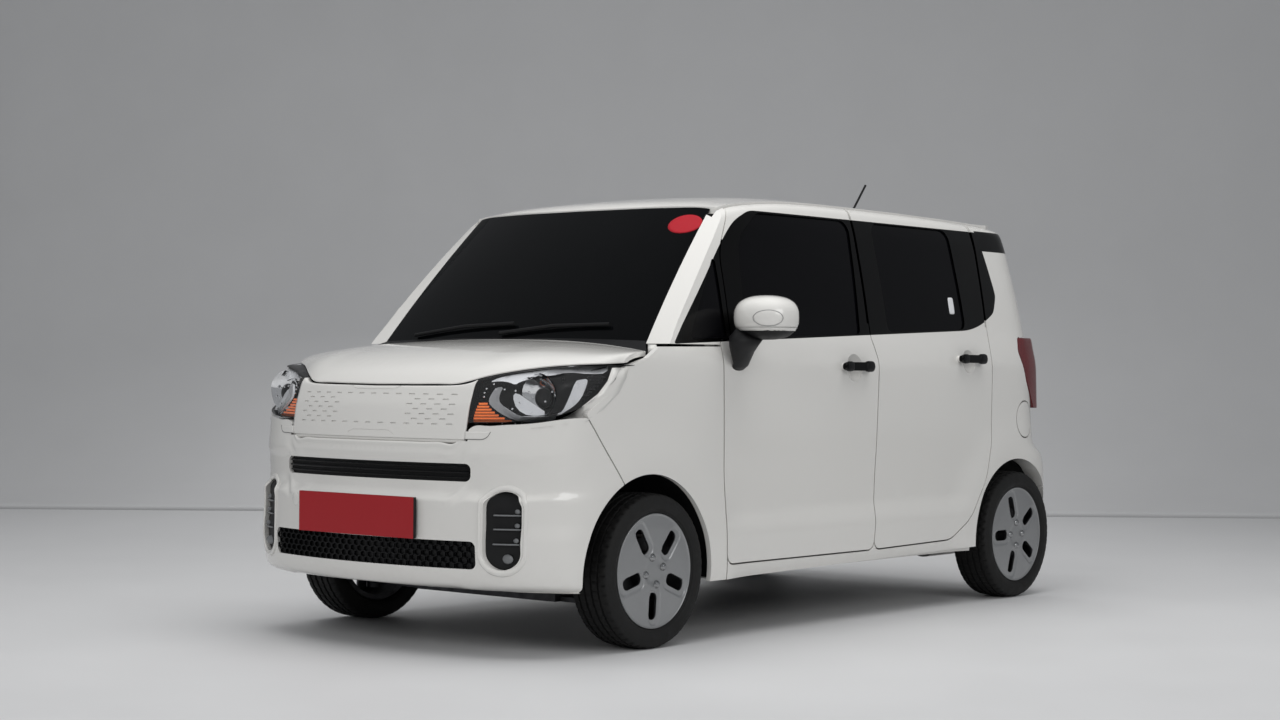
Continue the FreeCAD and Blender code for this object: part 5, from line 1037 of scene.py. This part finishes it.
# Pieces in front of the bumper and panel
PANEL_GAP_Z = 0.7455
EAR_COLUMNS = (0.4435, 0.45, 0.462, 0.48, 0.495, 0.507, 0.518, 0.527, 0.534, 0.539)
EAR_IN, EAR_OUT = 0.4435, 0.462
EAR_END, EAR_TURN = 0.54, 0.034
EAR_LOW, EAR_TOP = 0.7515, 0.7785
PANEL_LOW = 0.754
TOW_Y, TOW_Z, TOW_R = 0.372, 0.512, 0.0235
TOW_RINGS = ((0.02, 0.0012), (0.9, 0.0012), (1.0, 0.0), (1.0, -0.004), (0.02, -0.004))
PLATE_FACE = ((-1.7975, -0.284, 0.404), (-1.7955, 0.304, 0.548), 0.0006)
PLATE_BACK = ((-1.7953, -0.2835, 0.4045), (-1.7815, 0.3035, 0.5475), 0.001)
GAP_PATH_Z = 0.765
GAP_BEHIND, GAP_R = 0.0095, 0.0085


def ear_x(y, z):
    """The front face's x at the panel's lower corner, from the panel over to the bumper."""
    share = (y - EAR_IN) / (EAR_OUT - EAR_IN)
    if share >= 1.0:
        return front_hit(SKIN_TREE, -y, z)[0].x
    inner = front_hit(PANEL_TREE, -EAR_IN, max(z, PANEL_LOW))[0].x
    outer = front_hit(SKIN_TREE, -EAR_OUT, z)[0].x
    return inner + (outer - inner) * share


def make_panel_ears():
    """The panel's lower corners and the lines under them."""
    front, edge = [], []
    for y in EAR_COLUMNS:
        low = EAR_LOW
        if y > EAR_END - EAR_TURN:
            low += EAR_TURN - math.sqrt(EAR_TURN ** 2 - (y - EAR_END + EAR_TURN) ** 2)
        column = [vec(ear_x(y, z) - 0.0008, -y, z) for z in steps(low, EAR_TOP, 6)]
        edge.append(column[0] + vec(0.0002, 0, 0))
        front += column
    back = [p + vec(0.0028, 0, 0) for p in front]
    make_pair("panel_ear", sheet_part(front, back, 7), *PAINT)
    make_pair("panel_line", tube_part(edge + front[-6:], 0.0009, 6), "seal", "trim_black")


def make_front_fill():
    """The strip under the grille panel, the plate and the cover over the towing socket."""
    path = front_path(PANEL_TREE, [(y, GAP_PATH_Z) for y in steps(-0.44, 0.44, 40)])
    strip = tube_part([vec(p.x + GAP_BEHIND, p.y, PANEL_GAP_Z) for p in path], GAP_R, 12)
    make_object("panel_gap", strip, *PAINT)
    make_panel_ears()
    plate = make_object("plate_face", box_part(*PLATE_FACE), "plate", "plate_red", smooth=False)
    make_object("plate_back", box_part(*PLATE_BACK), *TRIM, smooth=False)
    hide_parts("number_plate")
    rings = []
    for share, out in TOW_RINGS:
        ring = []
        for c, s in circle(36):
            y, z = TOW_Y + TOW_R * share * c, TOW_Z + TOW_R * share * s
            ring.append(vec(front_hit(SKIN_TREE, -y, z)[0].x - out, y, z))
        rings.append(ring)
    make_object("tow_cover", loft(rings), *PAINT)


make_front_fill()

# Mirrors and the pull handles' round ends
MIRROR_FOOT = ((0.476, -0.782, 1.0, 0.036, 0.012), (0.472, -0.802, 1.018, 0.043, 0.018),
               (0.454, -0.818, 1.046, 0.056, 0.026), (0.44, -0.832, 1.076, 0.07, 0.034),
               (0.434, -0.846, 1.104, 0.08, 0.044), (0.45, -0.86, 1.132, 0.068, 0.05))
MIRROR_CENTRE = vec(AXLE_X + 0.498, -0.902, 1.193)
MIRROR_CAP = oval_shell(MIRROR_CENTRE, (0.112, 0.117, 0.082), 2.5, lower=-0.62, back=0.5)
TRAY_CENTRE, TRAY_HALF = MIRROR_CENTRE + vec(0.001, 0.0, -0.002), (0.108, 0.113, 0.0815)
PANE_CENTRE, PANE_HALF = MIRROR_CENTRE + vec(0.0558, 0.0, 0.004), (0.0025, 0.092, 0.058)
HANDLE_SINK = 0.008
HANDLE_ENDS = ((-0.071, (0.024, 0.011, 0.0205)), (0.066, (0.031, 0.012, 0.0225)))


def make_mirrors():
    """The door mirrors: cap, dark lower part, glass and foot."""
    tray = oval_shell(TRAY_CENTRE, TRAY_HALF, 2.5, upper=-0.45, back=0.49)
    pane = oval_shell(PANE_CENTRE, PANE_HALF, 3.4)
    foot = loft([[vec(AXLE_X + x + rx * c, y + ry * s * 0.8, z + ry * s * 0.5) for c, s in circle(24)]
                 for x, y, z, rx, ry in MIRROR_FOOT])
    caps = make_pair("mirror_cap", MIRROR_CAP, *PAINT, "door_front_")
    for cap, (_, hand) in zip(caps, SIDES):
        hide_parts("mirror_" + hand)
    make_pair("mirror_tray", tray, *TRIM, "door_front_")
    make_pair("mirror_pane", pane, "chrome", "screen_glass", "door_front_")
    make_pair("mirror_foot", foot, *TRIM, "door_front_")


def make_handle_ends(node, place, side):
    """The thick ends of a pull handle, riding on its door."""
    tree = bvh(node)
    parts = []
    for along, half in HANDLE_ENDS:
        start = at(place[0], 0.0, place[1]) + vec(along, side * 1.5, 0.0)
        hit = tree.ray_cast(start, vec(0, -side, 0))[0]
        parts.append(oval_shell(hit - vec(0, side * HANDLE_SINK, 0), half, 3.0, 12, 24))
    make_object("handle_ends_" + node, parts, *GLOSS, node if node.startswith("door") else "shell")


make_mirrors()
make_handle_ends("door_front_left", HANDLES[0], -1)
make_handle_ends("door_front_right", HANDLES[0], 1)
make_handle_ends("door_rear_left", HANDLES[1], -1)
make_handle_ends("sliding_door_right", HANDLES[1], 1)

# Tailgate and rear bumper; a pad's row: name, y, z, half width, half height, rise, bluntness, material, slot
GATE_TREE = bvh("tailgate", "tailgate_glass")
TAIL_TREE = bvh("rear_bumper")
REAR_PADS = [
    ("gate_grip", 0.0, 0.985, 0.25, 0.03, 0.014, 0.25, *PAINT),
    ("gate_grip_shade", 0.0, 0.946, 0.235, 0.01, 0.003, 0.3, *TRIM),
    ("gate_recess", 0.0, 0.842, 0.245, 0.092, 0.0025, 0.2, "body", "body_paint"),
    ("gate_plate", 0.0, 0.842, 0.168, 0.083, 0.0055, 0.14, "label", "body_paint"),
    ("gate_high_lamp", 0.0, 1.604, 0.15, 0.01, 0.006, 0.3, "red_lens", "lamp_clear"),
    ("reflector_left", -0.59, 0.395, 0.075, 0.015, 0.003, 0.25, "red_lens", "lamp_clear"),
    ("reflector_right", 0.59, 0.395, 0.075, 0.015, 0.003, 0.25, "red_lens", "lamp_clear"),
    ("bumper_insert", 0.0, 0.322, 0.43, 0.045, 0.003, 0.16, *TRIM),
]
PAD_RINGS = ((0.02, 1.0), (0.4, 1.0), (0.75, 1.0), (0.93, 0.96), (0.985, 0.7), (1.0, 0.25), (1.0, -0.3),
             (0.5, -0.3), (0.02, -0.3))
SEAL_CORNERS = ((0.487, 1.517), (-0.487, 1.517), (-0.487, 1.176), (0.487, 1.176))
SEAL_TURN = 0.052
WIPER_PIVOT, WIPER_TIP = (0.0, 1.098), (-0.33, 1.185)
WIPER_ARM_SHARE = 0.62
WIPER_RISE = 0.02


def rear_hit(tree, y, z):
    """Where a line from straight behind meets a surface, and its normal."""
    hit, normal = tree.ray_cast(vec(3.0, y, z), vec(-1, 0, 0))[:2]
    return hit, -normal if normal.x < 0 else normal


def gate_point(y, z, out=0.0):
    """A point of the tailgate's outside, moved rearwards."""
    return rear_hit(GATE_TREE, y, z)[0] + vec(out, 0, 0)


def pad_part(tree, middle, along, rise, power, rows, count, lift):
    """A pad laid on a surface, in rows of share and height; lift turns a normal into a step of height."""
    rings = []
    for share, out in rows:
        ring = []
        for c, s in circle(count):
            place = along * (signed_power(c, power) * share) + rise * (signed_power(s, power) * share)
            near, away = tree.find_nearest(middle + place)[:2]
            ring.append(near + lift(away) * out)
        rings.append(ring)
    return loft(rings)


def rear_pad(name, y, z, half_w, half_h, rise, power, mat, slot):
    """A rounded pad that follows the rear surface."""
    gate = name.startswith("gate")
    tree = GATE_TREE if gate else TAIL_TREE
    hit, normal = rear_hit(tree, y, z)
    up = vec(0, 1, 0).cross(normal).normalized()
    up *= math.copysign(half_h, up.z)
    part = pad_part(tree, hit, vec(0, half_w, 0), up, power, PAD_RINGS, 56, lambda away: normal * rise)
    make_object(name, part, mat, slot, "tailgate" if gate else "shell")


def make_gate_seal():
    """The seal round the tailgate's glass."""
    path = []
    for corner, (y, z) in enumerate(SEAL_CORNERS):
        for k in range(7):
            c, s = turned(SEAL_TURN, 0.0, 90.0 * corner + 15.0 * k)
            path.append(gate_point(y + c, z + s))
    finer_path = []
    for a, b in zip(path, path[1:] + path[:1]):
        count = max(1, int((b - a).length / 0.03))
        for k in range(count):
            p = a.lerp(b, k / count)
            finer_path.append(gate_point(p.y, p.z))
    make_object("gate_seal", tube_part(finer_path, 0.0045, 8, True, 1.4), "seal", "trim_black", "tailgate")


def make_gate_wiper():
    """The rear wiper's boss, arm and blade."""
    pivot = gate_point(*WIPER_PIVOT)
    tip = gate_point(*WIPER_TIP)
    arm = [pivot + vec(WIPER_RISE, 0, 0)]
    for k in range(1, 9):
        p = pivot.lerp(tip, WIPER_ARM_SHARE * k / 8)
        arm.append(gate_point(p.y, p.z, WIPER_RISE - MM * k))
    blade = []
    for share in steps(0.18, 1.08, 14):
        p = pivot.lerp(tip, share)
        blade.append(gate_point(p.y, p.z + 0.012, 0.006))
    parts = [tube_part(arm, 0.0065, 8, False, 1.4), tube_part(blade, 0.0045, 8, False, 1.2),
             ball_part(pivot + vec(0.012, 0, 0), 0.026, 12, (0.6, 1.0, 1.0))]
    make_object("gate_wiper", parts, *TRIM, "tailgate")


for row in REAR_PADS:
    rear_pad(*row)
make_gate_seal()
make_gate_wiper()

# Blank stickers and the mirrors' lamps
STICKER_STEPS = 40
STICKER_RINGS = [(0.02, 0.0015), (0.3, 0.0015), (0.6, 0.0015), (0.85, 0.0015), (1.0, 0.0012), (1.0, -0.0005),
                 (0.6, -0.0005), (0.02, -0.0005)]
STICKER_RIM = 4


def sticker_part(tree, px, py, half_w, half_h, power=1.0):
    """A thin blank label lying on a surface at a pixel's place."""
    line = sight(px, py)
    hit, normal = tree.ray_cast(EYE, line)[:2]
    normal *= math.copysign(1.0, -normal.dot(line))
    along = vec(0, 0, 1).cross(normal).normalized()
    rise = normal.cross(along).normalized()
    return pad_part(tree, hit, along * half_w, rise * half_h, power, STICKER_RINGS, STICKER_STEPS,
                    lambda away: away * math.copysign(1.0, away.dot(normal)))


def make_stickers():
    """The lamps on the mirror caps with their rims, and the blank labels on two panes."""
    oval = sticker_part(BVHTree.FromPolygons(*MIRROR_CAP), 768.7, 318.0, 0.066, 0.03)
    make_pair("mirror_lamp", oval, "white_plastic", "lamp_clear", "door_front_")
    rim = oval[0][STICKER_RIM * STICKER_STEPS:(STICKER_RIM + 1) * STICKER_STEPS]
    make_pair("mirror_line", tube_part(rim, 0.0009, 6, True), "bar", "trim_black", "door_front_")
    screen = sticker_part(bvh("windscreen"), 685.0, 224.0, 0.072, 0.052)
    make_object("screen_sticker", screen, "sticker", "plate_red")
    label = sticker_part(bvh("door_rear_left_glass"), 951.0, 306.0, 0.02, 0.036, 0.35)
    make_object("glass_label", label, "label", "body_paint", "door_rear_left")


make_stickers()

# Seats; their outlines are (x, z) in millimetres, seen from the side
CUSHION = [(812, 512), (1240, 500), (1252, 622), (815, 640)]
SEAT_BACK = [(1268, 560), (1368, 560), (1516, 1196), (1420, 1200)]
HEAD = [(1432, 1222), (1508, 1218), (1546, 1366), (1478, 1370)]
BENCH_BACK = [(2168, 560), (2262, 560), (2412, 1196), (2320, 1200)]
BENCH_SHIFT = 900
SEAT_Y, SEAT_HALF = 345, 235
SEAT_SEAM = 140
BENCH_SEAMS = (-380, -185, 0, 185, 380)
BENCH_HALF = 550
BENCH_HEAD_Y, HEAD_HALF = 330, 112
ROD_Y = 55
RAIL_Y = 190
SEAT_RAIL = ((850, -18, 342), (1210, 18, 520), 0.006)
SEAT_PAN = ((860, -200, 470), (1200, 200, 512), 0.006)
BENCH_BOX = ((1760, -500, 342), (2100, 500, 512), 0.008)
SWELL_LIMIT = 0.024
SEAM_DEEP = SEAM_WIDE = 0.009
CLOTH_FRAMES = 20


def rearwards(outline):
    """A front seat's outline moved to the bench."""
    return [(x + BENCH_SHIFT, z) for x, z in outline]


def pad_mesh(name, outline, y, half, voxel, edge):
    """A rounded pad from its side view, its middle and its half width."""
    part = loft([[at(x, y + end, z) for x, z in outline] for end in (-half, half)])
    obj = make_object(name, part, "fabric", "fabric")
    modify(obj, "BEVEL", width=edge, segments=3)
    modify(obj, "REMESH", mode="VOXEL", voxel_size=voxel)
    modify(obj, "SMOOTH", iterations=4)
    apply_all(obj)
    set_materials(obj.data, "fabric")
    return obj


def swell(objs):
    """Blows the pads up a little with cloth, and keeps the result."""
    rest = {o.name: [v.co.copy() for v in o.data.vertices] for o in objs}
    for obj in objs:
        cloth = modify(obj, "CLOTH")
        cloth.settings.use_pressure = True
        cloth.settings.uniform_pressure_force = 4.0
        cloth.settings.effector_weights.gravity = 0.0
        cloth.settings.quality = 4
        cloth.collision_settings.use_collision = False
        cloth.point_cache.frame_start = 1
        cloth.point_cache.frame_end = CLOTH_FRAMES
    for step in range(1, CLOTH_FRAMES + 1):
        bpy.context.scene.frame_set(step)
    for obj in objs:
        apply_all(obj)
        for v, start in zip(obj.data.vertices, rest[obj.name]):
            move = v.co - start
            if move.length > SWELL_LIMIT:
                v.co = start + move * (SWELL_LIMIT / move.length)
    bpy.context.scene.frame_set(1)
    for obj in objs:
        shade_smooth(obj.data)


def sew(obj, seams):
    """Presses sewn channels into a pad at places across the car, in millimetres."""
    normals = [v.normal.copy() for v in obj.data.vertices]
    for v, normal in zip(obj.data.vertices, normals):
        dip = sum(math.exp(-((v.co.y - seam * MM) / SEAM_WIDE) ** 2) for seam in seams)
        v.co -= normal * (dip * SEAM_DEEP)


def head_rods(y, shift):
    """The two rods of a head pad."""
    return [tube_part([at(1462 + shift, rod, 1185), at(1484 + shift, rod, 1290)], 0.006, 10)
            for rod in (y - ROD_Y, y + ROD_Y)]


def frame_box(y, low, high, chamfer):
    """A box of a seat's frame, moved sideways."""
    return box_part(*[at(corner[0], corner[1] + y, corner[2]) for corner in (low, high)], chamfer)


def make_seats():
    """The front seats and the rear bench, each pad by itself."""
    pads = []
    for side, hand in SIDES:
        y = SEAT_Y * side
        seams = (y - SEAT_SEAM, y + SEAT_SEAM)
        pads.append((pad_mesh("seat_cushion_" + hand, CUSHION, y, SEAT_HALF, 0.013, 0.045), seams))
        pads.append((pad_mesh("seat_back_" + hand, SEAT_BACK, y, SEAT_HALF, 0.013, 0.04), seams))
        pads.append((pad_mesh("seat_head_" + hand, HEAD, y, HEAD_HALF, 0.01, 0.034), ()))
    pads.append((pad_mesh("bench_cushion", rearwards(CUSHION), 0, BENCH_HALF, 0.016, 0.045), BENCH_SEAMS))
    pads.append((pad_mesh("bench_back", BENCH_BACK, 0, BENCH_HALF, 0.016, 0.04), BENCH_SEAMS))
    for k, y in enumerate((-BENCH_HEAD_Y, BENCH_HEAD_Y)):
        pads.append((pad_mesh("bench_head_%d" % k, rearwards(HEAD), y, HEAD_HALF, 0.01, 0.034), ()))
    swell([obj for obj, _ in pads])
    for obj, seams in pads:
        sew(obj, seams)
        node = "rear_seat" if obj.name.startswith("bench") else "front_seats"
        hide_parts(node)
    parts, rear_parts = [], []
    for y in (-SEAT_Y, SEAT_Y):
        parts += [frame_box(rail, *SEAT_RAIL) for rail in (y - RAIL_Y, y + RAIL_Y)]
        parts += [frame_box(y, *SEAT_PAN)] + head_rods(y, 0)
    for y in (-BENCH_HEAD_Y, BENCH_HEAD_Y):
        rear_parts += head_rods(y, BENCH_SHIFT)
    rear_parts.append(frame_box(0, *BENCH_BOX))
    make_object("seat_frames", parts, "cabin", "dash", smooth=False)
    make_object("bench_frame", rear_parts, "cabin", "dash", smooth=False)


make_seats()

# Stage: floor, lights and camera
FLOOR_START, FLOOR_END, FLOOR_HALF = -7.0, 6.0, 14.0
BACKDROP_TURN, BACKDROP_TOP = 2.5, 9.0
STAGE_AHEAD, STAGE_ACROSS = vec(0.7675, 0.6411, 0.0), vec(0.6411, -0.7675, 0.0)
SKY, SKY_STRENGTH = (0.8, 0.82, 0.85, 1.0), 0.35


def make_stage():
    """A pale floor that runs up into a backdrop."""
    profile = [(FLOOR_START, 0.0), (FLOOR_END, 0.0)]
    for angle in steps(0.0, math.pi / 2, 12):
        profile.append((FLOOR_END + BACKDROP_TURN * math.sin(angle), BACKDROP_TURN * (1 - math.cos(angle))))
    profile.append((FLOOR_END + BACKDROP_TURN, BACKDROP_TOP))
    rows = [[STAGE_AHEAD * run + STAGE_ACROSS * side + vec(0, 0, rise) for side in (-FLOOR_HALF, FLOOR_HALF)]
            for run, rise in profile]
    floor = make_object("floor", loft(rows, False, False), "floor", None, None)


def area_light(name, place, target, size, power, size_y, mirrored=True):
    """A soft rectangular lamp."""
    data = bpy.data.lights.new(name, "AREA")
    data.energy = power
    data.shape = "RECTANGLE"
    data.size = size
    data.size_y = size_y
    obj = add_object(name, data)
    obj.location = place
    obj.rotation_euler = (Vector(target) - Vector(place)).to_track_quat("-Z", "Y").to_euler()
    obj.visible_glossy = mirrored


def make_world():
    """Faint even light from all round."""
    world = bpy.data.worlds.new("world")
    bpy.context.scene.world = world
    world.use_nodes = True
    background = world.node_tree.nodes["Background"]
    background.inputs[0].default_value = SKY
    background.inputs[1].default_value = SKY_STRENGTH


def make_camera():
    """The camera at the photograph's viewing place."""
    data = bpy.data.cameras.new("camera")
    data.sensor_width = SENSOR
    data.lens = FOCAL / PHOTO_W * SENSOR
    obj = add_object("camera", data)
    turn = Matrix((RIGHT, UP, -LOOK)).transposed().to_4x4()
    obj.matrix_world = Matrix.Translation(EYE) @ turn
    bpy.context.scene.camera = obj


make_stage()
area_light("lamp_top", (-0.5, -0.5, 5.2), (0, 0, 0), 6.0, 235.0, 4.5, False)
area_light("lamp_front", (-6.5, -2.0, 3.4), (-1.2, 0.0, 0.8), 3.0, 90.0, 2.4, False)
area_light("lamp_side", (-1.0, -6.5, 3.2), (0.2, -0.6, 0.8), 4.5, 80.0, 2.4)
area_light("lamp_back", (5.0, 5.0, 4.0), (0.3, 0.2, 0.8), 4.0, 110.0, 3.0, False)
make_world()
bpy.context.scene.view_settings.view_transform = "Standard"
make_camera()
